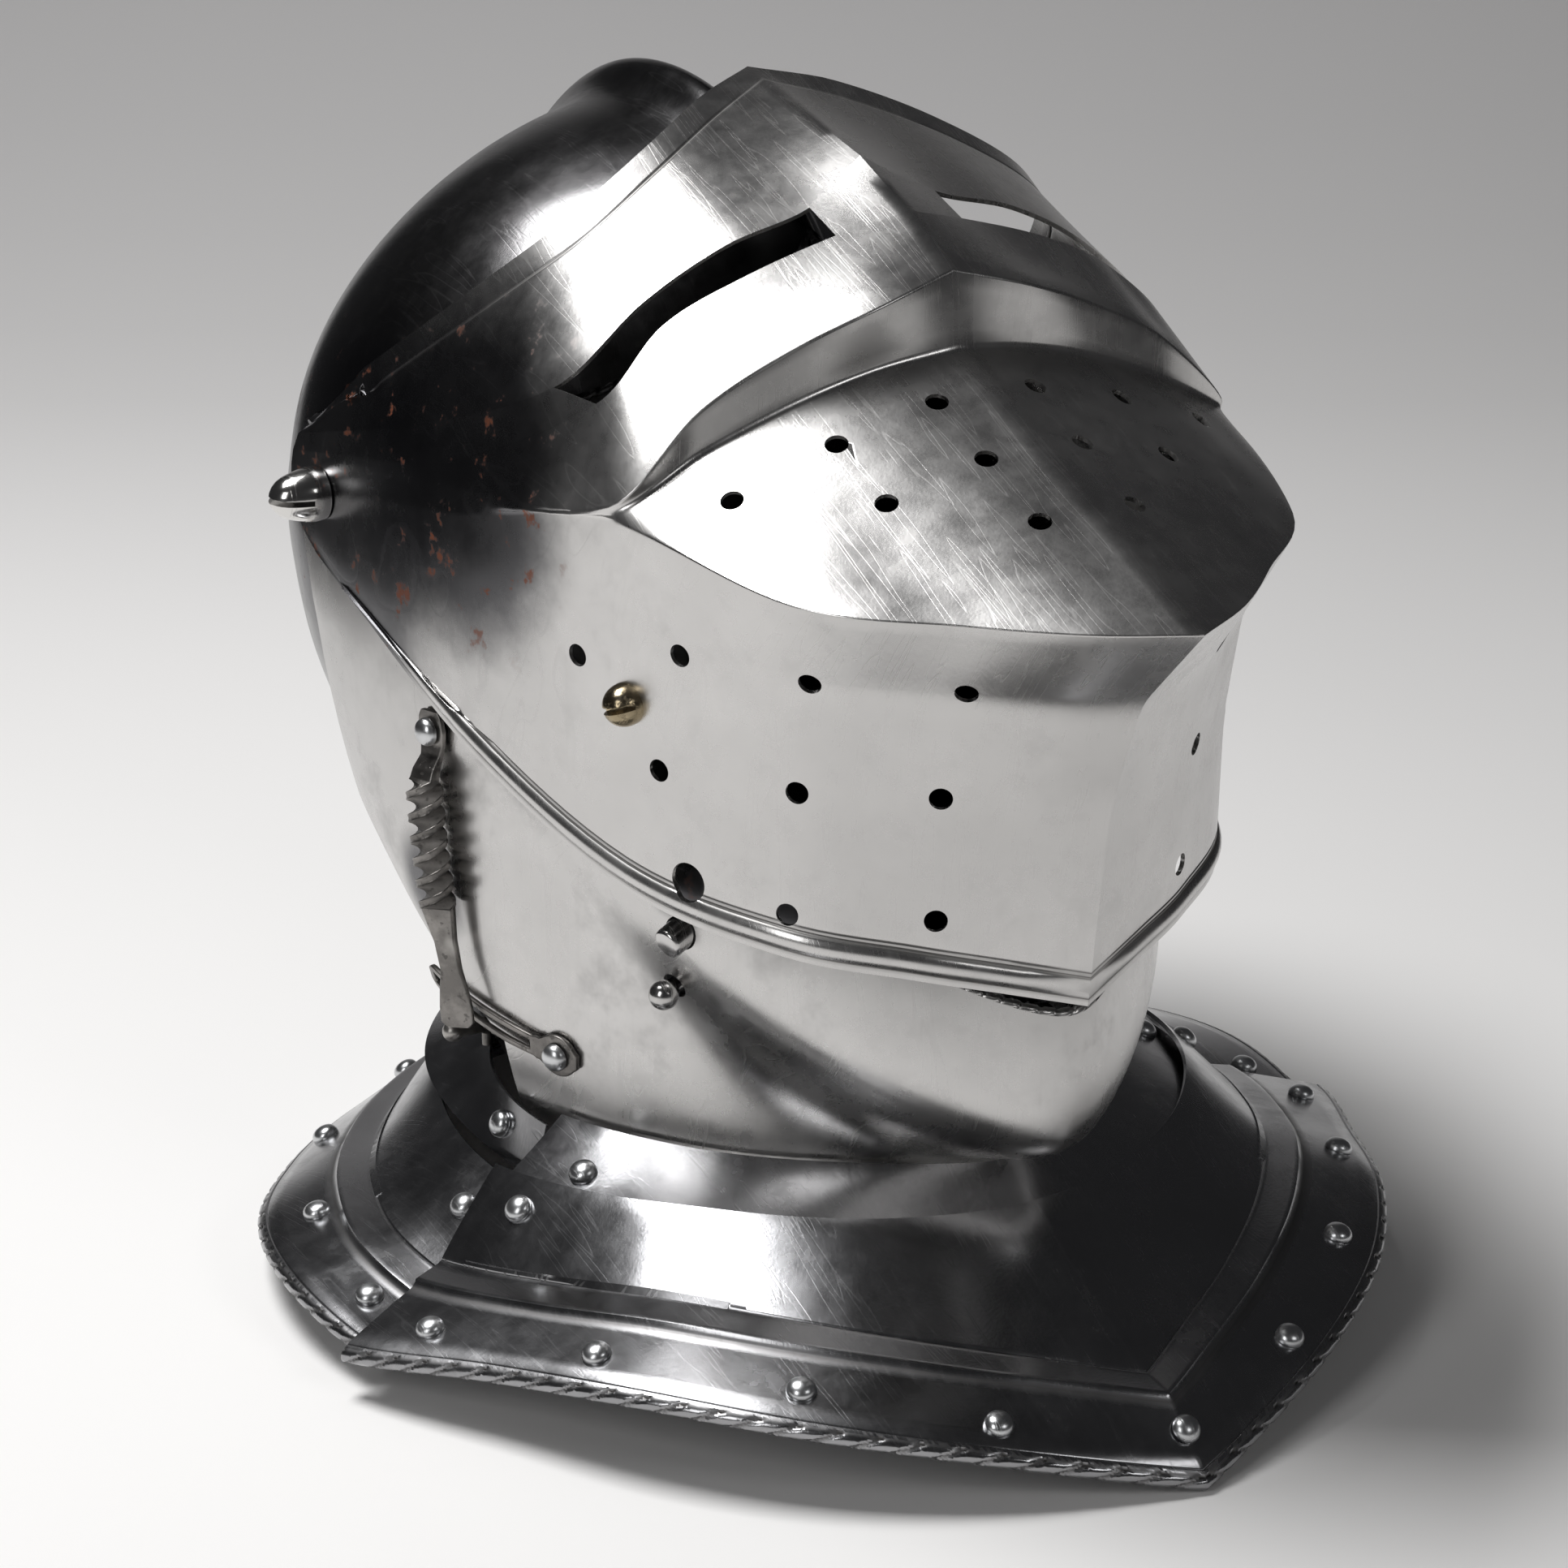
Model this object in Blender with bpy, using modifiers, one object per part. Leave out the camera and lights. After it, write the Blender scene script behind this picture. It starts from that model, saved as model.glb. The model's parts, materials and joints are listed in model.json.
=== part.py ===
"""Close helmet with a one-piece visor, bevor, gorget plates and side fastenings.

Units are metres, +Z is up, the helmet looks along -Y and the wearer's left is +X.
The origin is the middle of the footprint, on the surface that the helmet stands on.
Places are first given in the helmet's own terms: side (towards the wearer's left),
ahead (in front of the pivot axis) and up (above the pivot axis).
"""
import math

import bmesh
import bpy
import numpy as np
from mathutils import Matrix, Vector
from mathutils.bvhtree import BVHTree

# Main sizes
HALF_WIDTH = 0.108      # median plane to the outer face of the visor at the pivots
REACH = 0.252           # pivot axis to the tip of the prow
CROWN = 0.112           # pivot axis up to the peak of the brow
AXIS_HEIGHT = 0.211     # pivot axis above the surface
NECK_EDGE = 0.046       # height of the lower edge of skull and bevor
SKULL_RADIUS = 0.098    # pivot axis to the top of the bowl, beside the comb
BEVOR_REACH = 0.222     # pivot axis to the chin, beside its keel
GORGET_WIDTH = 0.158    # median plane to the rim of the rear gorget plate

# Sheet and clearances
SHEET = 0.0012
LAYER_GAP = 0.0006      # air between two plates that turn on one pivot
SEAT_GAP = 0.0004       # air under a rivet or a washer
NECK_GAP = 0.0018       # air between the neck and the collars around it
HOLE_GAP = 0.0005       # air around a shank or a peg in its hole
EAR_RADIUS = 0.019      # rounded end of each plate around its pivot

# Comb, keel and edges
COMB_HEIGHT = 0.008
COMB_WIDTH = 0.008
KEEL_HEIGHT = 0.006
KEEL_WIDTH = 0.022
ROLL_RADIUS = 0.0026    # rolled rim of the gorget plates
RIB_WIDTH = 0.0085      # raised band around the gorget plates
RIB_STEP = 0.0016       # drop from that band to the border
BROW_RISE = 18          # degrees that the face opening rises at the forehead
BROW_RISE_WIDTH = 0.030

# Openings and fastenings
BREATH_RADIUS = 0.0030
CATCH_HOLE_RADIUS = 0.0052
PIVOT_SHANK_RADIUS = 0.0030
PIVOT_HEAD_RADIUS = 0.0075
PIVOT_HEAD_HEIGHT = 0.0150
PIVOT_NUT_RADIUS = 0.0060
PIVOT_NUT_HEIGHT = 0.0018
VISOR_SCREW_RADIUS = 0.0058
VISOR_SCREW_HEIGHT = 0.0064
SLOT_WIDTH = 0.0014
RIVET_RADIUS = 0.0039
RIVET_HEIGHT = 0.0031
SHANK_RADIUS = 0.0018   # of the two rivets that the bar and the hasp swing on
PEG_RADIUS = 0.0042
PEG_LENGTH = 0.0060     # what stands out of the bevor
BUTTON_RADIUS = 0.0040
BUTTON_NECK_RADIUS = 0.0022
BUTTON_LENGTH = 0.0088
SPRING_DEPTH = 0.0060   # from the bevor's outer face in to the leaf spring
SPRING_WIDTH = 0.0110
SPRING_THICKNESS = 0.0009
BAR_LENGTH = 0.0840
BAR_WIDTH = 0.0094
BAR_THICKNESS = 0.0034
BAR_TWISTS = 2.917
BAR_LEAN = 0.08         # how far the bar leans forward on its way down
HASP_LENGTH = 0.0570
HASP_TAB_RADIUS = 0.0060
HASP_HALF_WIDTH = 0.0034
HASP_SLOT_HALF_WIDTH = 0.0015
HASP_THICKNESS = 0.0015
HASP_LIFT = 0.0008      # air between the loop of the hasp and the bevor
POST_LENGTH = 0.0195
POST_RADIUS = 0.0022
POST_RING_RADIUS = 0.0040
POST_BALL_RADIUS = 0.0030

DROP = AXIS_HEIGHT - NECK_EDGE
STACK = 3 * SHEET + 2 * LAYER_GAP
RIGHT = -1              # the wearer's right, where the side fastenings are
BOTH_HANDS = (-1, 1)

# Feature lines of the visor from its upper edge down to its lower edge. Each line has six
# stations: median, front, flank, shoulder, corner and cheek. A station is side, ahead and up,
# in percent of HALF_WIDTH, REACH and CROWN, with heights below the axis in percent of DROP.
VISOR_LINES = {
    "band_edge":   ((0, 17.5, 100), (19.5, 21.8, 95.5), (41.5, 25.8, 86.5),
                    (65, 27.0, 73), (81.5, 21.0, 57), (94.5, 7.5, 34)),
    "sight_upper": ((0, 39.7, 87.5), (17.6, 42.0, 78.5), (40.7, 41.9, 72.3),
                    (62, 41.3, 61.6), (83.3, 39.3, 43.8), (95.4, 19.5, 26.5)),
    "sight_lower": ((0, 48.8, 78.6), (17.6, 47.2, 74.1), (41.7, 46.4, 67.0),
                    (62, 45.4, 58.0), (79.6, 45.2, 42.4), (94.8, 25.0, 20.5)),
    "lip":         ((0, 57.1, 68.8), (20.4, 57.9, 63.4), (41.7, 56.2, 55.4),
                    (64.8, 54.8, 43.8), (86.6, 52.8, 24.1), (95.2, 28.2, 16.0)),
    "inner":       ((0, 57.9, 50.9), (21.3, 56.9, 48.2), (41.7, 56.3, 42.9),
                    (64.8, 54.8, 33.9), (87.0, 52.2, 22.3), (95.4, 29.0, 13.4)),
    "prow":        ((0, 100, 9.8), (21.3, 94.4, 9.8), (41.7, 86.7, 10.3),
                    (69.4, 75.0, 12.0), (87.0, 51.6, 21.0), (95.7, 29.4, 10.7)),
    "under_prow":  ((0, 90.5, -8.0), (19.4, 86.5, -8.0), (39.8, 80.2, -8.0),
                    (66.7, 69.0, -6.5), (85.2, 51.2, 2.7), (95.8, 30.2, 0)),
    "breaths":     ((0, 85.7, -27.5), (18.5, 82.5, -26.5), (37.0, 78.2, -26.0),
                    (63.0, 68.3, -25.0), (82.4, 50.8, -21.0), (95.3, 30.2, -16.5)),
    "bead_edge":   ((0, 82.9, -60.0), (18.5, 79.8, -57.0), (38.0, 76.2, -54.0),
                    (62.0, 68.3, -51.0), (79.8, 50.8, -47.0), (94.4, 30.2, -33.0)),
}
VISOR_EAR_ANGLES = (76, 45, 25, 12, 4, -5, -20, -42, -76)
VISOR_COLUMN_STEPS = (1, 2, 2, 3, 2, 2, 2)
VISOR_ROW_STEPS = (1, 1, 1, 1, 1, 1, 1, 2)
SIGHT_ROW = 1           # the interval between the lines sight_upper and sight_lower

# Sections of bevor and skull through the pivot axis: angle in degrees from straight ahead,
# upwards; reach as a share of the plate's own radius; fullness is the power of the arch;
# the last column is the share of the keel or the comb that stands there.
BEVOR_SECTIONS = ((-27, 1.00, 1.72, 1), (-31, 1.045, 1.78, 1), (-35, 1.085, 1.85, 1),
                  (-39, 1.06, 1.90, 0.5), (-43, 1.03, 1.90, 0), (-52, 1.14, 2.0, 0),
                  (-61, 1.22, 2.2, 0), (-70, 1.17, 2.3, 0), (-79, 1.00, 2.3, 0),
                  (-87, 0.86, 2.3, 0))
SKULL_SECTIONS = ((27, 1.00, 1.7, 1), (45, 1.00, 1.68, 1), (70, 1.00, 1.65, 1),
                  (95, 1.00, 1.65, 1), (120, 0.99, 1.7, 0.9), (145, 0.985, 1.8, 0.6),
                  (165, 0.99, 1.9, 0.3), (180, 1.00, 2.0, 0.1), (200, 1.08, 2.15, 0),
                  (220, 1.19, 2.2, 0), (235, 1.32, 2.2, 0), (246, 1.45, 2.1, 0),
                  (256, 1.62, 2.0, 0), (264, 1.86, 1.9, 0), (271, 2.04, 1.9, 0),
                  (278, 2.30, 1.9, 0), (291, 2.30, 1.9, 0))
BEVOR_ROWS = 16
SKULL_ROWS = 20
FAN_COLUMNS = 8
EAR_ENTRY = 1.3 * EAR_RADIUS    # flat part of the visor's ear, from its far edge
EAR_RING = 0.040        # inside this distance from the pivot the rows form the ear
EAR_RINGS = (0.027, 0.019, 0.010, 0.0)
EAR_FLAT = 0.010        # flat seat for the nut, inside the skull
EAR_SPREAD = 0.008      # how soon the skull's edges part in front of that seat
CORNER_AHEAD = 0.300    # the bevor's rear corner is cut away behind this share of BEVOR_REACH
CORNER_LINE = ((0.02, -0.59), (0.30, -0.85))    # shares of BEVOR_REACH and DROP

# Gorget plates as rows around the neck: angle from the front in degrees, then radius and
# height of the seam, the rib and the rim. Radii are percent of GORGET_WIDTH, heights are
# percent of AXIS_HEIGHT.
FRONT_GORGET = ((0, 70.9, 23.7, 108.8, 9.6, 120.2, 0.0), (6, 70.6, 23.7, 103.5, 11.0, 116.8, 2.2),
                (18, 69.6, 23.9, 96.5, 13.4, 112.0, 6.0), (32, 68.4, 24.2, 91.1, 15.2, 107.6, 8.6),
                (48, 67.1, 24.2, 87.0, 15.7, 102.8, 9.4), (65, 66.8, 23.2, 84.8, 13.5, 99.8, 7.4),
                (84, 67.1, 21.8, 85.8, 10.6, 104.3, 4.3))
REAR_GORGET = ((74, 65.0, 18.9, 85.8, 8.2, 100.4, 4.0), (90, 64.0, 18.9, 86.8, 10.6, 100.6, 5.6),
               (106, 64.2, 18.6, 84.8, 11.0, 99.2, 4.8), (125, 66.5, 18.6, 83.0, 10.0, 95.6, 2.4),
               (145, 71.0, 19.4, 83.4, 9.2, 94.4, 0.5), (162, 75.5, 20.4, 84.8, 9.0, 95.4, 0.0),
               (180, 77.0, 20.9, 85.8, 9.0, 96.2, 0.0))
FRONT_EDGE_SLANT = -4.5   # degrees that the front plate's rear edge leans on its way to the rim
REAR_EDGE_SLANT = 6.4
FRONT_GORGET_ROWS = 12
REAR_GORGET_ROWS = 12
GORGET_CENTRE = 0.076   # the middle of the neck, ahead of the pivot axis

# Collars: angle, then radius and height of the outer edge, as above
FRONT_COLLAR = ((0, 73.4, 21.2), (18, 72.0, 21.3), (48, 69.6, 21.5), (65, 69.0, 20.4),
                (82, 68.6, 19.4))
REAR_COLLAR = ((84, 59.4, 18.0), (93, 59.8, 18.0), (106, 62.5, 18.8), (125, 68.6, 20.4),
               (145, 73.6, 21.0), (162, 77.8, 21.6), (180, 79.3, 22.1))
FRONT_COLLAR_EDGE = 0.056       # height of the edge that lies around the neck
REAR_COLLAR_EDGE = 0.0525
FRONT_COLLAR_LEAST = 0.52 * GORGET_WIDTH    # least radius of that edge
REAR_COLLAR_LEAST = 0.566 * GORGET_WIDTH
COLLAR_ROWS = 12

# Breath holes in one half of the visor, in percent of REACH and of DROP where they are drilled
# from the side, and in percent of HALF_WIDTH and of REACH where they are drilled from above.
SIDE_BREATHS = ((83, -5.5), (72.7, -5.5), (59.6, -5), (46.4, -9.5), (79, -23.7), (69.8, -24),
                (55.6, -25), (77.7, -44), (68.6, -44))
UPPER_BREATHS = ((65.7, 61.2), (39.8, 62.5), (39, 71), (13, 80.8), (13.3, 71.7), (13.7, 63.2))
CATCH_HOLE = (58.3, -42.3)

# Fastenings on the right flank: percent of REACH and of DROP
VISOR_SCREW_SPOT = (52.5, -15.4)
PEG_SPOT = (53.0, -54.0)
BUTTON_SPOT = (49.6, -65.1)
BAR_SPOT = (20.0, -32.7)
HASP_SPOT = (35.3, -83.0)
HASP_END_SPOT = (13.9, -79.4)
POST_SPOT = (13.7, -90.5)

# Rivets of the gorget: angle, then percent of GORGET_WIDTH
FRONT_BORDER_RIVETS = ((0, 113.5), (15.5, 107), (32.5, 99.7), (53, 94.2), (73.2, 94.2))
REAR_BORDER_RIVETS = ((85, 92), (104.4, 89.5), (131, 89.5), (153, 89), (180, 91))
FRONT_SEAM_RIVET = (74.6, 71.2)
REAR_SEAM_RIVET = (87.3, 71.2)
FRONT_COLLAR_RIVET = (69.7, 61.6)
REAR_COLLAR_RIVET = (97, 21.6)  # its height in percent of AXIS_HEIGHT

# Half sections of turned pieces: radius and height as shares of the two sizes given with each
DOME = ((0, 1), (0.55, 0.86), (0.9, 0.48), (1, 0))
BULLET = ((0, 1), (0.34, 0.95), (0.66, 0.8), (0.88, 0.52), (1, 0.2), (0.96, 0))

# The bar: place along it as a share of BAR_LENGTH, width and thickness as shares of BAR_WIDTH
# and BAR_THICKNESS, height of its middle above the bevor as a share of BAR_WIDTH
BAR_SECTIONS = ((-0.065, 0.75, 0.45, 0.16), (0.02, 1.05, 0.45, 0.16), (0.08, 0.85, 0.50, 0.24),
                (0.12, 0.95, 0.90, 0.46), (0.16, 1.00, 1.00, 0.60), (0.36, 1.00, 1.00, 0.58),
                (0.57, 1.00, 1.00, 0.45), (0.62, 0.85, 1.00, 0.38), (0.70, 0.62, 0.95, 0.26),
                (0.80, 0.60, 0.80, 0.14), (0.87, 0.85, 0.55, 0.10), (0.93, 1.00, 0.42, 0.07),
                (0.985, 1.00, 0.40, 0.05), (1.00, 0.70, 0.40, 0.04))
BAR_TWIST_SPAN = (0.15, 0.58)

# The hasp: place along it as a share of HASP_LENGTH and half its width
HASP_OUTLINE = ((-0.11, 0.35, 0), (-0.07, 0.85, 0), (0.0, 1.0, 0), (0.07, 0.85, 0),
                (0.13, 0, 0.9), (0.30, 0, 1.0), (0.50, 0, 1.0), (0.70, 0, 1.0), (0.93, 0, 1.0),
                (0.97, 0, 0.85), (1.0, 0, 0.5))
HASP_SLOT_ROWS = (5, 8)

STEEL = ((0.62, 0.61, 0.60), 0.25)
DARK_STEEL = ((0.25, 0.25, 0.26), 0.30)
RIVET_STEEL = ((0.72, 0.72, 0.71), 0.25)
BRASSY_STEEL = ((0.56, 0.50, 0.38), 0.30)
BAR_STEEL = ((0.34, 0.33, 0.32), 0.40)


def place(side, ahead, up):
    return Vector((side, AXIS_Y - ahead, AXIS_HEIGHT + up))


def curve_through(stations, steps):
    """Points on a smooth curve through the stations, with steps[i] pieces in interval i."""
    points = np.array(stations, dtype=float)
    count = len(points)
    knots = np.zeros(count)
    for i in range(1, count):
        knots[i] = knots[i - 1] + max(np.linalg.norm(points[i] - points[i - 1]), 1e-6) ** 0.5
    tangents = np.zeros_like(points)
    for i in range(count):
        low = max(i - 1, 0)
        high = min(i + 1, count - 1)
        tangents[i] = (points[high] - points[low]) / (knots[high] - knots[low])
    result = [points[0]]
    for i in range(count - 1):
        span = knots[i + 1] - knots[i]
        for k in range(1, steps[i] + 1):
            result.append(blend_cubic(points[i], tangents[i], points[i + 1], tangents[i + 1],
                                      span, k / steps[i]))
    return result


def blend_cubic(start, start_slope, end, end_slope, span, t):
    """A cubic between two values with given slopes, at the share t of the span."""
    value = (2 * t ** 3 - 3 * t ** 2 + 1) * start + (3 * t ** 2 - 2 * t ** 3) * end
    slope = (t ** 3 - 2 * t ** 2 + t) * start_slope + (t ** 3 - t ** 2) * end_slope
    return value + span * slope


def read_table(table, value):
    """Smooth values of a table at one value of its first column."""
    columns = np.array(table, dtype=float)
    columns = columns[np.argsort(columns[:, 0])]
    keys = columns[:, 0]
    place_in = np.clip(value, keys[0], keys[-1])
    i = int(np.clip(np.searchsorted(keys, place_in) - 1, 0, len(keys) - 2))
    slopes = np.gradient(columns[:, 1:], keys, axis=0)
    span = keys[i + 1] - keys[i]
    return blend_cubic(columns[i, 1:], slopes[i], columns[i + 1, 1:], slopes[i + 1], span,
                       (place_in - keys[i]) / span)


def front_reach():
    """How far the point of the front gorget plate lies ahead of the pivot axis."""
    return GORGET_CENTRE + FRONT_GORGET[0][5] / 100 * GORGET_WIDTH


def rear_reach():
    """How far the skull reaches behind the pivot axis."""
    reaches = []
    for angle in range(120, 240, 2):
        reach, _, ridge_share = read_table(SKULL_SECTIONS, angle)
        raised = reach * SKULL_RADIUS + ridge_share * COMB_HEIGHT
        reaches.append(-raised * math.cos(math.radians(angle)))
    return max(reaches)


AXIS_Y = (front_reach() - rear_reach()) / 2     # puts the origin in the middle of the length


def finish(name, look):
    colour, roughness = look
    made = bpy.data.materials.new(name)
    made.use_nodes = True
    shader = made.node_tree.nodes["Principled BSDF"]
    shader.inputs["Base Color"].default_value = (*colour, 1)
    shader.inputs["Roughness"].default_value = roughness
    shader.inputs["Metallic"].default_value = 1.0
    return made


def new_collection(name):
    made = bpy.data.collections.new(name)
    bpy.context.scene.collection.children.link(made)
    return made


def add_piece(name, mesh, look):
    """A named piece with a material of its own."""
    made = bpy.data.objects.new(name, mesh)
    bpy.data.collections["close_helmet"].objects.link(made)
    mesh.materials.append(finish(name, look))
    return made


def add_cutter(name, mesh):
    made = bpy.data.objects.new(name, mesh)
    bpy.data.collections["cutters"].objects.link(made)
    made.hide_render = True
    made.display_type = "WIRE"
    return made


def cut(piece, cutter):
    modifier = piece.modifiers.new("Cut " + cutter.name, "BOOLEAN")
    modifier.operation = "DIFFERENCE"
    modifier.solver = "EXACT"
    modifier.object = cutter


def mesh_from(shape, name):
    mesh = bpy.data.meshes.new(name)
    shape.to_mesh(mesh)
    shape.free()
    return mesh


def grid_mesh(name, rows, skip=()):
    """A sheet through rows of points; skip names cells, by row and column, left open."""
    shape = bmesh.new()
    corners = [[shape.verts.new(point) for point in row] for row in rows]
    for i in range(len(rows) - 1):
        for j in range(len(rows[0]) - 1):
            if (i, j) not in skip:
                shape.faces.new((corners[i][j], corners[i][j + 1],
                                 corners[i + 1][j + 1], corners[i + 1][j]))
    bmesh.ops.remove_doubles(shape, verts=shape.verts, dist=0.00005)
    return mesh_from(shape, name)


def slice_mesh(mesh, point, normal, clear=False):
    """Cut edges along a plane, and clear what lies on the side that the normal points to."""
    shape = bmesh.new()
    shape.from_mesh(mesh)
    bmesh.ops.bisect_plane(shape, geom=shape.verts[:] + shape.edges[:] + shape.faces[:],
                           dist=0.00001, plane_co=point, plane_no=normal, clear_outer=clear)
    shape.to_mesh(mesh)
    shape.free()


def cut_rear_corner(mesh):
    """Take away the bevor's lower rear corner: below a slanting line and behind a plumb one."""
    ahead = CORNER_AHEAD * BEVOR_REACH
    high, low = (place(0, a * BEVOR_REACH, u * DROP) for a, u in CORNER_LINE)
    below = (low - high).cross(Vector((1, 0, 0))).normalized()
    if below.z > 0:
        below.negate()
    behind = place(0, ahead, 0)
    slice_mesh(mesh, high, below)
    slice_mesh(mesh, behind, (0, 1, 0))
    shape = bmesh.new()
    shape.from_mesh(mesh)
    corner = []
    for face in shape.faces:
        middle = face.calc_center_median()
        if (middle - high).dot(below) > 0 and middle.y > behind.y:
            corner.append(face)
    bmesh.ops.delete(shape, geom=corner, context="FACES")
    shape.to_mesh(mesh)
    shape.free()


def face_away(mesh, inside):
    """Turn the sheet so that its faces look away from a point."""
    shape = bmesh.new()
    shape.from_mesh(mesh)
    bmesh.ops.recalc_face_normals(shape, faces=shape.faces)
    votes = sum(face.calc_area() * face.normal.dot(face.calc_center_median() - inside)
                for face in shape.faces)
    if votes < 0:
        bmesh.ops.reverse_faces(shape, faces=shape.faces)
    shape.to_mesh(mesh)
    shape.free()


def add_plate(name, mesh, inside, look):
    """Mirror a half sheet and give it the thickness of the steel, inwards."""
    face_away(mesh, inside)
    plate = add_piece(name, mesh, look)
    mirror = plate.modifiers.new("Other half", "MIRROR")
    mirror.merge_threshold = 0.0001
    wall = plate.modifiers.new("Steel sheet", "SOLIDIFY")
    wall.thickness = SHEET
    wall.offset = -1
    wall.use_even_offset = True
    return plate


class Seat:
    """Where a fastening stands on a sheet: found on its left half and set on either hand."""

    def __init__(self, mesh):
        shape = bmesh.new()
        shape.from_mesh(mesh)
        self.tree = BVHTree.FromBMesh(shape)
        shape.free()

    def hit(self, start, direction):
        point, normal, _, _ = self.tree.ray_cast(start, direction)
        if point is None:
            point, normal, _, _ = self.tree.find_nearest(start)
        if normal.dot(direction) > 0:
            normal.negate()
        return point, normal

    def from_side(self, ahead, up):
        return self.hit(place(2 * HALF_WIDTH, ahead, up), Vector((-1, 0, 0)))

    def from_above(self, side, ahead):
        return self.hit(place(max(side, SHEET / 10), ahead, 2 * CROWN), Vector((0, 0, -1)))

    def from_outside(self, angle, height):
        start = around_neck(angle, 2 * GORGET_WIDTH, height)
        return self.hit(start, around_neck(angle, 0, height) - start)


def on_hand(point, normal, hand):
    return (Vector((hand * point.x, point.y, point.z)),
            Vector((hand * normal.x, normal.y, normal.z)))


def standing(point, normal, towards=Vector((0, 0, 1))):
    """A frame at the point: Z along the normal, X as far as possible in one direction."""
    z = normal.normalized()
    x = towards - towards.dot(z) * z
    if x.length < 0.001:
        x = z.orthogonal()
    x.normalize()
    turn = Matrix((x, z.cross(x), z)).transposed()
    return Matrix.Translation(point) @ turn.to_4x4()


def turned(name, profile, frame, look, steps=10):
    """A turned piece: its half section runs down its outer side, from the top to the foot."""
    mesh = bpy.data.meshes.new(name)
    mesh.from_pydata([(r, 0, z) for r, z in profile],
                     [(i, i + 1) for i in range(len(profile) - 1)], [])
    piece = add_piece(name, mesh, look)
    piece.matrix_world = frame
    lathe = piece.modifiers.new("Lathe", "SCREW")
    lathe.steps = steps
    lathe.render_steps = steps
    lathe.use_merge_vertices = True
    lathe.merge_threshold = 0.0001
    return piece


def scaled(profile, radius, height, base=0.0):
    return [(r * radius, base + z * height) for r, z in profile]


def add_rivet(name, spot, look=RIVET_STEEL):
    profile = scaled(DOME, RIVET_RADIUS, RIVET_HEIGHT, SEAT_GAP) + [(0, SEAT_GAP)]
    return turned(name, profile, standing(*spot), look, 7)


def drill(shape, spot, radius, depth, segments=8):
    bmesh.ops.create_cone(shape, cap_ends=True, segments=segments, radius1=radius,
                          radius2=radius, depth=depth, matrix=standing(*spot))


def cut_slot(piece, width, depth, span, top):
    """A driver's slot across the head of a turned piece."""
    shape = bmesh.new()
    bmesh.ops.create_cube(shape, size=1)
    bmesh.ops.scale(shape, vec=(span, width, depth), verts=shape.verts)
    bmesh.ops.translate(shape, vec=(0, 0, top), verts=shape.verts)
    cutter = add_cutter(piece.name + "_slot", mesh_from(shape, piece.name + "_slot"))
    cutter.matrix_world = piece.matrix_world
    cut(piece, cutter)


def visor_station(station):
    side, ahead, up = station
    rise = CROWN if up >= 0 else DROP
    return (side * HALF_WIDTH / 100, ahead * REACH / 100, up * rise / 100)


def visor_ear(cheek, turn):
    """Where a line of the visor enters its flat ear, and where it ends on the ear's far edge."""
    far = Vector((-EAR_RADIUS * math.cos(turn), EAR_RADIUS * math.sin(turn)))
    from_far = Vector(cheek[1:]) - far
    near = far + from_far.normalized() * EAR_ENTRY
    beyond = max(near.length - EAR_RADIUS, 0) / (math.hypot(*cheek[1:]) - EAR_RADIUS)
    side = HALF_WIDTH - beyond * (HALF_WIDTH - cheek[0])
    return [(side, *near), (HALF_WIDTH, *far)]


def visor_rows():
    """The rows of the visor from its upper edge down, each from the median to the ear."""
    lines = []
    for stations, angle in zip(VISOR_LINES.values(), VISOR_EAR_ANGLES):
        points = [visor_station(station) for station in stations]
        points += visor_ear(points[-1], math.radians(angle))
        lines.append(curve_through(points, VISOR_COLUMN_STEPS))
    rows = []
    for i, steps in enumerate(VISOR_ROW_STEPS):
        for k in range(steps):
            share = k / steps
            rows.append([(1 - share) * a + share * b for a, b in zip(lines[i], lines[i + 1])])
    rows.append(lines[-1])
    return [[place(*point) for point in row] for row in rows]


def ear_of_skull(angle, share, sector):
    """The skull lies all around its pivots: its rows run on to the pivot itself."""
    rest = (360 - sector) / 2
    points = []
    for distance in EAR_RINGS:
        spread = rest * math.exp(-max(distance - EAR_FLAT, 0) / EAR_SPREAD)
        heading = math.radians(angle + spread * (2 * share - 1))
        points.append((distance * math.cos(heading), distance * math.sin(heading)))
    return points


def ear_of_bevor(angle, share, sector):
    """The bevor ends in a round ear: its rows run across the pivot to the ear's far edge."""
    first = angle + share * sector
    heading = math.radians(angle + edge_spread(EAR_RING, BEVOR_REACH) * (1 - 2 * share))
    far = math.radians(first + 90 + share * (180 - sector))
    start = np.array((math.cos(heading), math.sin(heading))) * EAR_RING
    end = np.array((math.cos(far), math.sin(far))) * EAR_RADIUS
    return [tuple(start + (end - start) * k / 4) for k in range(1, 5)]


def edge_spread(distance, reach):
    """Degrees by which a plate's edge, at this distance, runs beside the line to the pivot."""
    return math.degrees(math.asin(min(EAR_RADIUS / distance, 1))) * (1 - distance / reach)


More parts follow.
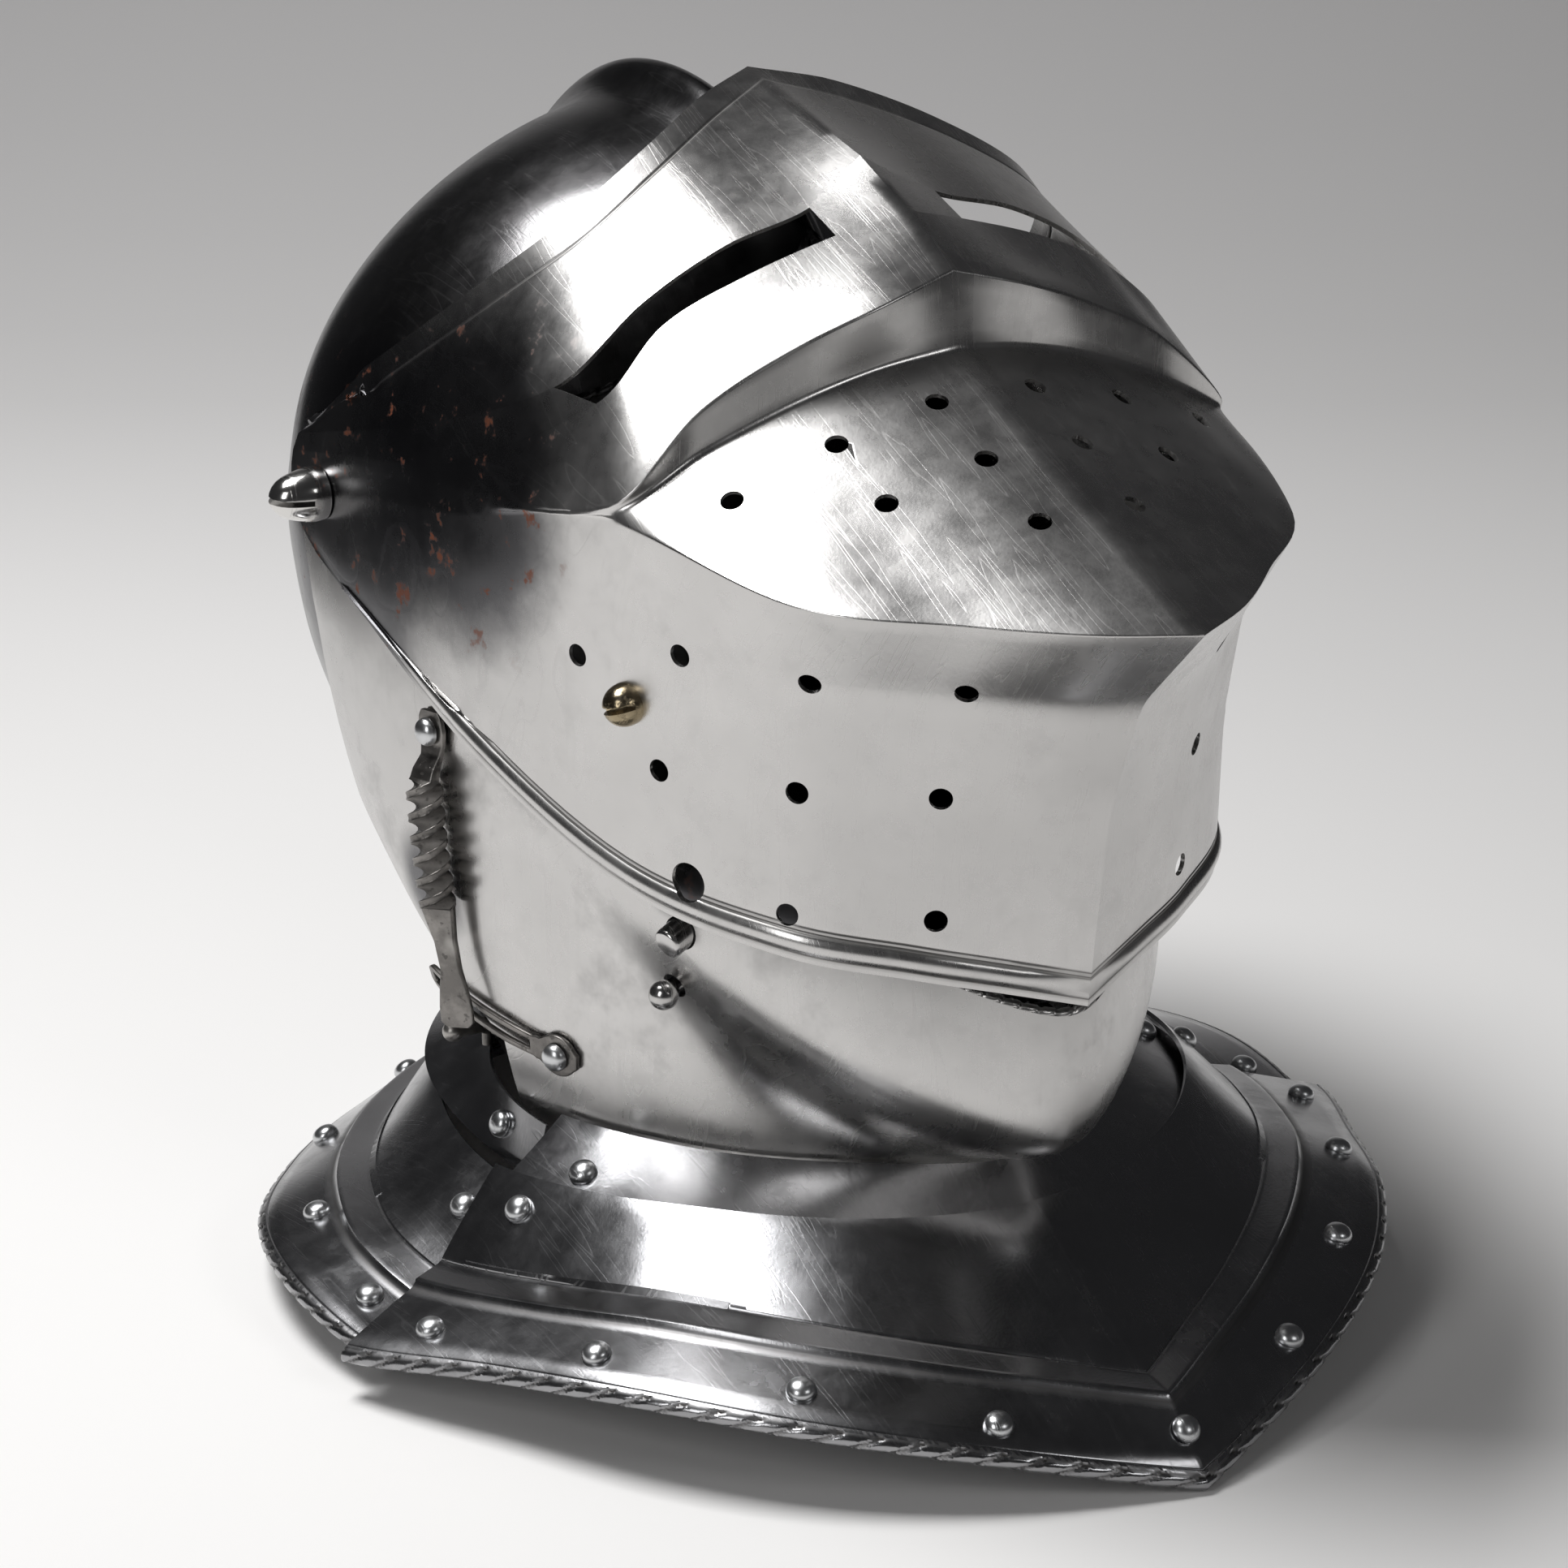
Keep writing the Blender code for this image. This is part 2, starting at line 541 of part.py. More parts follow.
def fan_mesh(name, sections, row_count, width, radius, ridge, ear, edge_rise=0, flat=0.0):
    """A sheet swept about the pivot axis: arches from the median plane to the ear."""
    first = sections[0][0]
    last = sections[-1][0]
    ridge_height, ridge_width = ridge
    rows = []
    for share in np.linspace(0, 1, row_count):
        angle = first + share * (last - first)
        reach, fullness, ridge_share = read_table(sections, angle)
        reach *= radius
        swings = [math.cos(k / FAN_COLUMNS * math.pi / 2) for k in range(FAN_COLUMNS + 1)]
        distances = [EAR_RING + (reach - EAR_RING) * swing ** (2 / fullness)
                     for swing in swings]
        points = []
        for distance in distances:
            side = arch_side(distance, width, reach, fullness, flat)
            heading = angle + edge_rise * math.exp(-side / BROW_RISE_WIDTH) * (1 - share) ** 3
            if last < first:
                heading += edge_spread(distance, reach) * (1 - 2 * share)
            turn = math.radians(heading)
            raised = distance + ridge_height * ridge_share * math.exp(-(side / ridge_width) ** 2)
            points.append(place(side, raised * math.cos(turn), raised * math.sin(turn)))
        for ahead, up in ear(angle, share, abs(last - first)):
            side = arch_side(math.hypot(ahead, up), width, reach, fullness, flat)
            points.append(place(side, ahead, up))
        rows.append(points)
    return grid_mesh(name, rows)


def arch_side(distance, width, reach, fullness, flat):
    """How far an arch stands from the median plane, at a distance from the pivot axis."""
    share = min(max(distance - flat, 0) / (reach - flat), 1)
    return width * (1 - share ** fullness) ** (1 / fullness)


def around_neck(angle, radius, height):
    """A point around the neck: angle in degrees from the front, height above the surface."""
    turn = math.radians(angle)
    return place(radius * math.sin(turn), GORGET_CENTRE + radius * math.cos(turn),
                 height - AXIS_HEIGHT)


def gorget_profile(seam, seam_up, rib, rib_up, rim, rim_up):
    """Radius and height from the seam down over the rib to the rolled rim."""
    rim_up = max(rim_up, 0.0)
    profile = [(seam, seam_up),
               ((seam + rib) / 2 - RIB_STEP, (seam_up + rib_up) / 2 - RIB_STEP),
               (rib - RIB_WIDTH, rib_up + RIB_STEP),
               (rib, rib_up),
               (rib + RIB_STEP, rib_up - RIB_STEP)]
    for degrees in (60, 20, -30, -90, -125, -170):
        turn = math.radians(degrees)
        profile.append((rim + ROLL_RADIUS * (math.cos(turn) - 1),
                        rim_up + ROLL_RADIUS * (math.sin(turn) + 1)))
    flat_end = profile[-2]
    profile[-2] = (flat_end[0], rim_up)
    return profile


def gorget_mesh(name, table, row_count, slant):
    """A gorget plate: the same profile around the neck, with one edge leaning by slant."""
    rows = []
    units = np.array([GORGET_WIDTH, AXIS_HEIGHT] * 3) / 100
    for share in np.linspace(0, 1, row_count):
        angle = table[0][0] + share * (table[-1][0] - table[0][0])
        sizes = read_table(table, angle) * units
        leaning = share if slant < 0 else 1 - share
        span = sizes[4] - sizes[0]
        rows.append([around_neck(angle + slant * leaning ** 3 * (radius - sizes[0]) / span,
                                 radius, height)
                     for radius, height in gorget_profile(*sizes)])
    return grid_mesh(name, rows)


def collar_mesh(name, table, neck, edge_height, least):
    """A collar: from just outside the neck down to an outer edge read from its table."""
    rows = []
    for angle in np.linspace(table[0][0], table[-1][0], COLLAR_ROWS):
        outer, outer_up = read_table(table, angle) * (GORGET_WIDTH / 100, AXIS_HEIGHT / 100)
        inner = max(neck_radius(neck, angle, edge_height) + NECK_GAP, least)
        middle = (inner + outer) / 2
        middle_up = (edge_height + outer_up) / 2
        rows.append([around_neck(angle, inner, edge_height),
                     around_neck(angle, middle, middle_up),
                     around_neck(angle, outer, outer_up)])
    return grid_mesh(name, rows)


def neck_radius(neck, angle, height):
    """How far the plates around the neck reach out from its middle at an angle."""
    centre = around_neck(angle, 0, height)
    start = around_neck(angle, 2 * GORGET_WIDTH, height)
    hits = [seat.tree.ray_cast(start, centre - start, 2 * GORGET_WIDTH)[0] for seat in neck]
    return max([(point - centre).length for point in hits if point], default=0)


def flank_spot(seat, spot):
    """A fastening's seat on the wearer's right flank."""
    ahead, up = spot
    return on_hand(*seat.from_side(ahead * REACH / 100, up * DROP / 100), RIGHT)


def visor(seats):
    rows = visor_rows()
    inside = place(0, GORGET_CENTRE, -0.3 * DROP)
    whole = grid_mesh("visor_whole", rows)
    face_away(whole, inside)
    seats["visor"] = Seat(whole)
    first = VISOR_COLUMN_STEPS[0]
    last = sum(VISOR_COLUMN_STEPS[:4])
    sight = {(SIGHT_ROW, j) for j in range(first, last)}
    plate = add_plate("visor", grid_mesh("visor", rows, sight), inside, STEEL)
    spots = [seats["visor"].from_side(ahead * REACH / 100, up * DROP / 100)
             for ahead, up in SIDE_BREATHS]
    spots += [seats["visor"].from_above(side * HALF_WIDTH / 100, ahead * REACH / 100)
              for side, ahead in UPPER_BREATHS]
    shape = bmesh.new()
    for spot in spots:
        for hand in BOTH_HANDS:
            drill(shape, on_hand(*spot, hand), BREATH_RADIUS, 6 * SHEET)
    drill(shape, flank_spot(seats["visor"], CATCH_HOLE), CATCH_HOLE_RADIUS, 8 * SHEET, 12)
    cut(plate, add_cutter("breath_drills", mesh_from(shape, "breath_drills")))
    return plate


def bevor(seats):
    width = HALF_WIDTH - SHEET - LAYER_GAP
    mesh = fan_mesh("bevor", BEVOR_SECTIONS, BEVOR_ROWS, width, BEVOR_REACH,
                    (KEEL_HEIGHT, KEEL_WIDTH), ear_of_bevor)
    seats["bevor"] = Seat(mesh)
    slice_mesh(mesh, (0, 0, NECK_EDGE), (0, 0, -1), clear=True)
    cut_rear_corner(mesh)
    seats["bevor_neck"] = Seat(mesh)
    return add_plate("bevor", mesh, place(0, GORGET_CENTRE, -0.3 * DROP), STEEL)


def skull(seats):
    width = HALF_WIDTH - 2 * (SHEET + LAYER_GAP)
    mesh = fan_mesh("skull", SKULL_SECTIONS, SKULL_ROWS, width, SKULL_RADIUS,
                    (COMB_HEIGHT, COMB_WIDTH), ear_of_skull, BROW_RISE, EAR_FLAT)
    slice_mesh(mesh, (0, 0, NECK_EDGE), (0, 0, -1), clear=True)
    seats["skull"] = Seat(mesh)
    return add_plate("skull", mesh, place(0, 0, 0), DARK_STEEL)


def gorget(seats):
    below = place(0, GORGET_CENTRE, -2 * AXIS_HEIGHT)
    neck = (seats["bevor_neck"], seats["skull"])
    meshes = {
        "front_gorget_plate": gorget_mesh("front_gorget_plate", FRONT_GORGET,
                                          FRONT_GORGET_ROWS, FRONT_EDGE_SLANT),
        "rear_gorget_plate": gorget_mesh("rear_gorget_plate", REAR_GORGET,
                                         REAR_GORGET_ROWS, REAR_EDGE_SLANT),
        "front_collar": collar_mesh("front_collar", FRONT_COLLAR, neck, FRONT_COLLAR_EDGE,
                                    FRONT_COLLAR_LEAST),
        "rear_collar": collar_mesh("rear_collar", REAR_COLLAR, neck, REAR_COLLAR_EDGE,
                                   REAR_COLLAR_LEAST),
    }
    for name, mesh in meshes.items():
        add_plate(name, mesh, below, DARK_STEEL)
        seats[name] = Seat(mesh)


def gorget_spot(seat, angle, percent):
    return seat.from_above(*gorget_flat(angle, percent * GORGET_WIDTH / 100))


def gorget_flat(angle, radius):
    turn = math.radians(angle)
    return radius * math.sin(turn), GORGET_CENTRE + radius * math.cos(turn)


def add_rivet_pair(name, spot):
    for hand, side in zip(BOTH_HANDS, ("right", "left")):
        add_rivet(side + "_" + name, on_hand(*spot, hand))


def add_border_rivets(name, seat, spots):
    for number, (angle, percent) in enumerate(spots, 1):
        spot = gorget_spot(seat, angle, percent)
        if angle in (0, 180):
            add_rivet("middle_" + name, spot)
        else:
            add_rivet_pair(name + "_" + str(number), spot)


def gorget_rivets(seats):
    add_border_rivets("front_border_rivet", seats["front_gorget_plate"], FRONT_BORDER_RIVETS)
    add_border_rivets("rear_border_rivet", seats["rear_gorget_plate"], REAR_BORDER_RIVETS)
    add_rivet_pair("front_seam_rivet", gorget_spot(seats["front_gorget_plate"],
                                                   *FRONT_SEAM_RIVET))
    add_rivet_pair("rear_seam_rivet", gorget_spot(seats["rear_gorget_plate"],
                                                  *REAR_SEAM_RIVET))
    add_rivet_pair("front_collar_rivet", gorget_spot(seats["front_collar"],
                                                     *FRONT_COLLAR_RIVET))
    angle, up = REAR_COLLAR_RIVET
    add_rivet_pair("rear_collar_rivet",
                   seats["rear_collar"].from_outside(angle, up * AXIS_HEIGHT / 100))


def pivots(plates):
    """The two screws that the visor and the bevor turn on, and their holes."""
    shape = bmesh.new()
    drill(shape, (place(0, 0, 0), Vector((1, 0, 0))), PIVOT_SHANK_RADIUS + HOLE_GAP,
          2 * HALF_WIDTH + 10 * SHEET, 10)
    bore = add_cutter("pivot_drill", mesh_from(shape, "pivot_drill"))
    for plate in plates:
        cut(plate, bore)
    inner = -STACK - SEAT_GAP
    profile = scaled(BULLET, PIVOT_HEAD_RADIUS, PIVOT_HEAD_HEIGHT, SEAT_GAP)
    profile += [(PIVOT_SHANK_RADIUS, SEAT_GAP), (PIVOT_SHANK_RADIUS, inner),
                (PIVOT_NUT_RADIUS, inner), (PIVOT_NUT_RADIUS, inner - PIVOT_NUT_HEIGHT),
                (0, inner - PIVOT_NUT_HEIGHT)]
    for hand, side in zip(BOTH_HANDS, ("right", "left")):
        frame = standing(place(hand * HALF_WIDTH, 0, 0), Vector((hand, 0, 0)))
        screw = turned(side + "_pivot_screw", profile, frame, RIVET_STEEL, 12)
        cut_slot(screw, SLOT_WIDTH, 2 * SLOT_WIDTH, 3 * PIVOT_HEAD_RADIUS, PIVOT_HEAD_HEIGHT)


def visor_screw(seats):
    profile = scaled(DOME, VISOR_SCREW_RADIUS, VISOR_SCREW_HEIGHT, SEAT_GAP) + [(0, SEAT_GAP)]
    frame = standing(*flank_spot(seats["visor"], VISOR_SCREW_SPOT))
    screw = turned("visor_screw", profile, frame, BRASSY_STEEL, 12)
    cut_slot(screw, SLOT_WIDTH, 2 * SLOT_WIDTH, 3 * VISOR_SCREW_RADIUS, VISOR_SCREW_HEIGHT)


def catch(seats, bevor_plate):
    """Peg and button on a leaf spring inside the bevor; pressing the button draws both in."""
    peg_point, peg_normal = flank_spot(seats["bevor"], PEG_SPOT)
    button_point, button_normal = flank_spot(seats["bevor"], BUTTON_SPOT)
    outward = (peg_normal + button_normal).normalized()
    middle = (peg_point + button_point) / 2
    depth = SPRING_DEPTH - SEAT_GAP
    peg_root = (middle - peg_point).dot(outward) - depth
    button_root = (middle - button_point).dot(outward) - depth
    peg_profile = [(0, PEG_LENGTH), (0.85 * PEG_RADIUS, PEG_LENGTH),
                   (PEG_RADIUS, 0.9 * PEG_LENGTH), (PEG_RADIUS, peg_root), (0, peg_root)]
    turned("catch_peg", peg_profile, standing(peg_point, outward), RIVET_STEEL)
    neck_top = BUTTON_LENGTH - BUTTON_RADIUS
    button_profile = [(BUTTON_RADIUS * math.sin(turn), neck_top + BUTTON_RADIUS * math.cos(turn))
                      for turn in np.radians((0, 35, 70, 105, 140))]
    button_profile += [(BUTTON_NECK_RADIUS, neck_top - 0.85 * BUTTON_RADIUS),
                       (BUTTON_NECK_RADIUS, button_root), (0, button_root)]
    turned("catch_button", button_profile, standing(button_point, outward), RIVET_STEEL)
    shape = bmesh.new()
    drill(shape, (peg_point, outward), PEG_RADIUS + HOLE_GAP, 2 * SPRING_DEPTH, 12)
    drill(shape, (button_point, outward), BUTTON_NECK_RADIUS + 2 * HOLE_GAP,
          2 * SPRING_DEPTH, 10)
    cut(bevor_plate, add_cutter("catch_drills", mesh_from(shape, "catch_drills")))
    along = peg_point - button_point
    shape = bmesh.new()
    bmesh.ops.create_cube(shape, size=1)
    bmesh.ops.scale(shape, vec=(along.length + 3 * PEG_RADIUS, SPRING_WIDTH, SPRING_THICKNESS),
                    verts=shape.verts)
    spring = add_piece("catch_spring", mesh_from(shape, "catch_spring"), BAR_STEEL)
    deep = SPRING_DEPTH + SPRING_THICKNESS / 2
    spring.matrix_world = standing(middle - deep * outward, outward, along)


def swinging_rivet(name, spot, under):
    """A domed rivet with a shank long enough for the piece that swings on it."""
    top = under + 2 * SEAT_GAP
    profile = scaled(DOME, RIVET_RADIUS, RIVET_HEIGHT, top)
    profile += [(SHANK_RADIUS, top), (SHANK_RADIUS, SEAT_GAP), (0, SEAT_GAP)]
    turned(name, profile, standing(*spot), RIVET_STEEL)


def bore_piece(piece, frame):
    shape = bmesh.new()
    bmesh.ops.create_cone(shape, cap_ends=True, segments=10, radius1=SHANK_RADIUS + HOLE_GAP,
                          radius2=SHANK_RADIUS + HOLE_GAP, depth=BAR_WIDTH, matrix=frame)
    name = piece.name + "_drill"
    cut(piece, add_cutter(name, mesh_from(shape, name)))


def bar_section(share, width, thickness, lift):
    """The four corners of the bar at one place along it, twisted within its twisted span."""
    start, end = BAR_TWIST_SPAN
    turn = 2 * math.pi * BAR_TWISTS * min(max((share - start) / (end - start), 0), 1)
    corners = []
    for across, over in ((1, 1), (-1, 1), (-1, -1), (1, -1)):
        y = across * width * BAR_WIDTH / 2
        z = over * thickness * BAR_THICKNESS / 2
        corners.append(Vector((share * BAR_LENGTH, y * math.cos(turn) - z * math.sin(turn),
                               lift * BAR_WIDTH + y * math.sin(turn) + z * math.cos(turn))))
    return corners


def side_bar(seats):
    point, normal = flank_spot(seats["bevor"], BAR_SPOT)
    normal = Vector((normal.x, normal.y, 0)).normalized()
    frame = standing(point, normal, Vector((0, -BAR_LEAN, -1)))
    start, end = BAR_TWIST_SPAN
    shares = [row[0] for row in BAR_SECTIONS]
    shares += [start + (end - start) * k / 36 for k in range(1, 36)]
    sections = []
    for share in sorted(shares):
        sections.append(bar_section(share, *linear_table(BAR_SECTIONS, share)))
    shape = bmesh.new()
    rings = [[shape.verts.new(frame @ corner) for corner in section] for section in sections]
    for low, high in zip(rings, rings[1:]):
        for k in range(4):
            shape.faces.new((low[k], low[k - 1], high[k - 1], high[k]))
    shape.faces.new(rings[0])
    shape.faces.new(rings[-1][::-1])
    bmesh.ops.recalc_face_normals(shape, faces=shape.faces)
    bar = add_piece("side_bar", mesh_from(shape, "side_bar"), BAR_STEEL)
    bore_piece(bar, frame)
    _, _, tab_thickness, tab_lift = BAR_SECTIONS[1]
    swinging_rivet("bar_rivet", (point, normal),
                   tab_lift * BAR_WIDTH + tab_thickness * BAR_THICKNESS / 2)


def linear_table(table, value):
    keys = [row[0] for row in table]
    return [np.interp(value, keys, column) for column in list(zip(*table))[1:]]


def hasp(seats):
    start, normal = seats["bevor"].from_side(HASP_SPOT[0] * REACH / 100,
                                             HASP_SPOT[1] * DROP / 100)
    end, _ = seats["bevor"].from_side(HASP_END_SPOT[0] * REACH / 100,
                                      HASP_END_SPOT[1] * DROP / 100)
    along = Vector((0, end.y - start.y, end.z - start.z)).normalized()
    across = Vector((1, 0, 0)).cross(along)
    rows = []
    for share, tab, strip in HASP_OUTLINE:
        half = tab * HASP_TAB_RADIUS + strip * HASP_HALF_WIDTH
        inner = HASP_SLOT_HALF_WIDTH * half / max(half, HASP_HALF_WIDTH)
        row = []
        for offset in (-half, -inner, inner, half):
            flat = start + share * HASP_LENGTH * along + offset * across
            point, _ = seats["bevor"].from_side(AXIS_Y - flat.y, flat.z - AXIS_HEIGHT)
            lift = SEAT_GAP + (HASP_LIFT - SEAT_GAP) * min(max(3 * share, 0), 1)
            row.append(Vector((-point.x - lift, point.y, point.z)))
        rows.append(row)
    slot = {(i, 1) for i in range(*HASP_SLOT_ROWS)}
    mesh = grid_mesh("hasp", rows, slot)
    face_away(mesh, place(0, 0, 0))
    piece = add_piece("hasp", mesh, BAR_STEEL)
    wall = piece.modifiers.new("Strip", "SOLIDIFY")
    wall.thickness = HASP_THICKNESS
    wall.offset = 1
    spot = on_hand(start, normal, RIGHT)
    bore_piece(piece, standing(*spot))
    swinging_rivet("hasp_rivet", spot, SEAT_GAP + HASP_THICKNESS)


def locking_post(seats):
    """A post on the skull's neck that a strap or the hasp can be hooked on."""
    point, normal = flank_spot(seats["skull"], POST_SPOT)
    outward = Vector((RIGHT, 0, 0))
    ball_centre = POST_LENGTH - POST_BALL_RADIUS
    base = POST_RING_RADIUS * math.tan(normal.angle(outward)) + SEAT_GAP
    foot = base + POST_RING_RADIUS / 2
    profile = [(POST_BALL_RADIUS * math.sin(turn), ball_centre + POST_BALL_RADIUS * math.cos(turn))
               for turn in np.radians((0, 36, 72, 108))]
    profile += [(POST_RADIUS, ball_centre - 0.7 * POST_BALL_RADIUS), (POST_RADIUS, foot),
                (POST_RING_RADIUS, foot), (POST_RING_RADIUS, base), (0, base)]
    turned("locking_post", profile, standing(point, outward), BAR_STEEL)
    start = point + (foot + 0.8 * POST_RADIUS) * outward
    start.z -= POST_RADIUS + SEAT_GAP
    pin = [(0, POST_RING_RADIUS), (0.6 * POST_RADIUS, POST_RING_RADIUS), (0.6 * POST_RADIUS, 0),
           (0, 0)]
    turned("post_pin", pin, standing(start, Vector((0, 0, -1))), BAR_STEEL, 8)


def main():
    for thing in list(bpy.data.objects):
        bpy.data.objects.remove(thing)
    new_collection("close_helmet")
    new_collection("cutters")
    seats = {}
    visor_plate = visor(seats)
    bevor_plate = bevor(seats)
    skull_plate = skull(seats)
    gorget(seats)
    gorget_rivets(seats)
    pivots((visor_plate, bevor_plate, skull_plate))
    visor_screw(seats)
    catch(seats, bevor_plate)
    side_bar(seats)
    hasp(seats)
    locking_post(seats)


main()
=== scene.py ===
"""Close helmet: finished meshes, materials, floor, light and camera.

Metres, +Z up, the helmet looks along -Y and the wearer's left is +X. The main sizes are
those of the helmet's solids, so every finished plate lies where its plain one is.
"""
import json
import math

import bmesh
import bpy
import numpy as np
from bpy.props import FloatProperty, FloatVectorProperty, IntProperty, PointerProperty
from mathutils import Matrix, Vector
from mathutils.bvhtree import BVHTree


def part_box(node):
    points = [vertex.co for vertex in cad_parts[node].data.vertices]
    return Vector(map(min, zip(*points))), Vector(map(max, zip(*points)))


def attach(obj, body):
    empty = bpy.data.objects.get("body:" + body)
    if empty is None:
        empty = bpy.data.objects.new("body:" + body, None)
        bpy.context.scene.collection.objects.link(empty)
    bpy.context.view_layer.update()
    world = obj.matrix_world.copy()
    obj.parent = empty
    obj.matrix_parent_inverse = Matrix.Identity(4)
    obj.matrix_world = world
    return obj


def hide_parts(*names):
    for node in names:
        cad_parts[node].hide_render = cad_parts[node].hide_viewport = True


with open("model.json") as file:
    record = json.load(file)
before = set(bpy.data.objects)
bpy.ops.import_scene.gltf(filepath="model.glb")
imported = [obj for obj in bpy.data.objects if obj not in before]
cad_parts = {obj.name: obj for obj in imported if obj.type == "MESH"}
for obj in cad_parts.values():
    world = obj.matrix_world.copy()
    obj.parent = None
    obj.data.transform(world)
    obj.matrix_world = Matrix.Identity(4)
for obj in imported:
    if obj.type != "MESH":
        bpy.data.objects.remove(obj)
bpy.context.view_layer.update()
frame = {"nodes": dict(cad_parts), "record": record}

bl_info = {
    "name": "Close Helmet",
    "version": (1, 0, 0),
    "blender": (4, 5, 0),
    "location": "View3D > Sidebar > Close Helmet",
    "description": "Builds the finished plates and fastenings of a close helmet",
    "category": "Mesh",
}

MM = 0.001

# The main sizes of the solids
HALF_WIDTH = 0.108
REACH = 0.252
CROWN = 0.112
AXIS_HEIGHT = 0.211
NECK_EDGE = 0.046
SKULL_RADIUS = 0.098
BEVOR_REACH = 0.222
GORGET_WIDTH = 0.158
SHEET = 0.0012
LAYER_GAP = 0.0006
NECK_GAP = 0.0018
EAR_RADIUS = 0.019
COMB = (0.008, 0.008)
KEEL = (0.006, 0.022)
ROLL_RADIUS = 0.0026
RIB_WIDTH = 0.0085
RIB_STEP = 0.0016
BROW_RISE = 18
BROW_RISE_WIDTH = 0.030
DROP = AXIS_HEIGHT - NECK_EDGE
GORGET_CENTRE = 0.076
BAR_LENGTH = 0.0840
BAR_WIDTH = 0.0094
BAR_THICKNESS = 0.0034
BAR_TWISTS = 2.917
BAR_LEAN = 0.08
BAR_TWIST_SPAN = (0.15, 0.58)
HASP_LENGTH = 0.0570
HASP_TAB_RADIUS = 0.0060
HASP_HALF_WIDTH = 0.0034
HASP_SLOT_HALF_WIDTH = 0.0015
HASP_THICKNESS = 0.0015
SEAT_GAP = 0.0004
HASP_LIFT = 0.0008
BOTH_HANDS = (-1, 1)
PEG_RADIUS = 0.0042
PEG_BORE_RADIUS = 0.0047
BUTTON_RADIUS = 0.0040
BUTTON_NECK_RADIUS = 0.0022
BUTTON_BORE_RADIUS = 0.0037
PIVOT_BORE_RADIUS = 0.0034
PIVOT_HEAD_RADIUS = 0.0075
PIVOT_HEAD_LENGTH = 0.015
POST_BALL_RADIUS = 0.0030
POST_RADIUS = 0.0022
SAME_PLACE = 0.00001
CAMERA_AZIMUTH = -31.5
CAMERA_ELEVATION = 20
CAMERA_SPOT = (-0.59311, -0.94763, 0.53929)

JOINTS = {joint["name"]: joint for joint in frame["record"]["behaviour"]["joints"]}
AXIS_Y = JOINTS["visor_turn"]["pos_m"][1]

# Feature lines of the visor from its upper to its lower edge, at six stations each: side,
# ahead and up in percent of HALF_WIDTH, REACH and CROWN, or of DROP below the pivots.
VISOR_LINES = (
    ((0, 17.5, 100), (19.5, 21.8, 95.5), (41.5, 25.8, 86.5),
     (65, 27.0, 73), (81.5, 21.0, 57), (94.5, 7.5, 34)),
    ((0, 39.7, 87.5), (17.6, 42.0, 78.5), (40.7, 41.9, 72.3),
     (62, 41.3, 61.6), (83.3, 39.3, 43.8), (95.4, 19.5, 26.5)),
    ((0, 48.8, 78.6), (17.6, 47.2, 74.1), (41.7, 46.4, 67.0),
     (62, 45.4, 58.0), (79.6, 45.2, 42.4), (94.8, 25.0, 20.5)),
    ((0, 57.1, 68.8), (20.4, 57.9, 63.4), (41.7, 56.2, 55.4),
     (64.8, 54.8, 43.8), (86.6, 52.8, 24.1), (95.2, 28.2, 16.0)),
    ((0, 57.9, 50.9), (21.3, 56.9, 48.2), (41.7, 56.3, 42.9),
     (64.8, 54.8, 33.9), (87.0, 52.2, 22.3), (95.4, 29.0, 13.4)),
    ((0, 100, 9.8), (21.3, 94.4, 9.8), (41.7, 86.7, 10.3),
     (69.4, 75.0, 12.0), (87.0, 51.6, 21.0), (95.7, 29.4, 10.7)),
    ((0, 90.5, -8.0), (19.4, 86.5, -8.0), (39.8, 80.2, -8.0),
     (66.7, 69.0, -6.5), (85.2, 51.2, 2.7), (95.8, 30.2, 0)),
    ((0, 85.7, -27.5), (18.5, 82.5, -26.5), (37.0, 78.2, -26.0),
     (63.0, 68.3, -25.0), (82.4, 50.8, -21.0), (95.3, 30.2, -16.5)),
    ((0, 82.9, -60.0), (18.5, 79.8, -57.0), (38.0, 76.2, -54.0),
     (62.0, 68.3, -51.0), (79.8, 50.8, -47.0), (94.4, 30.2, -33.0)),
)
VISOR_EAR_ANGLES = (76, 45, 25, 12, 4, -5, -20, -42, -76)
VISOR_COLUMN_STEPS = (6, 8, 8, 12, 8, 7, 7)
VISOR_ROW_STEPS = (14, 3, 5, 5, 10, 6, 9, 16)
VISOR_FILLETS = (0, 0.25, 0.25, 0.7, 1.6, 0.7, 5.0, 9.0, 0)    # millimetres at each line
SIGHT_ROW = 1
EAR_ENTRY = 1.3 * EAR_RADIUS

# Where its rows lie above the lower and below the upper edge, in millimetres
BEAD_SPOTS = (0.0, 0.9, 1.7, 2.0, 2.3, 2.7, 3.3, 4.0, 4.8, 5.6, 6.3, 6.9, 7.3, 7.6, 7.9, 8.2, 8.5,
              9.1, 9.4, 9.7, 10.0, 11.0, 12.6)
BAND_SPOTS = (0.0, 0.5, 1.1, 1.8, 3.0, 5.0, 7.2, 7.8, 8.1, 8.4, 8.7, 9.3, 10.5)

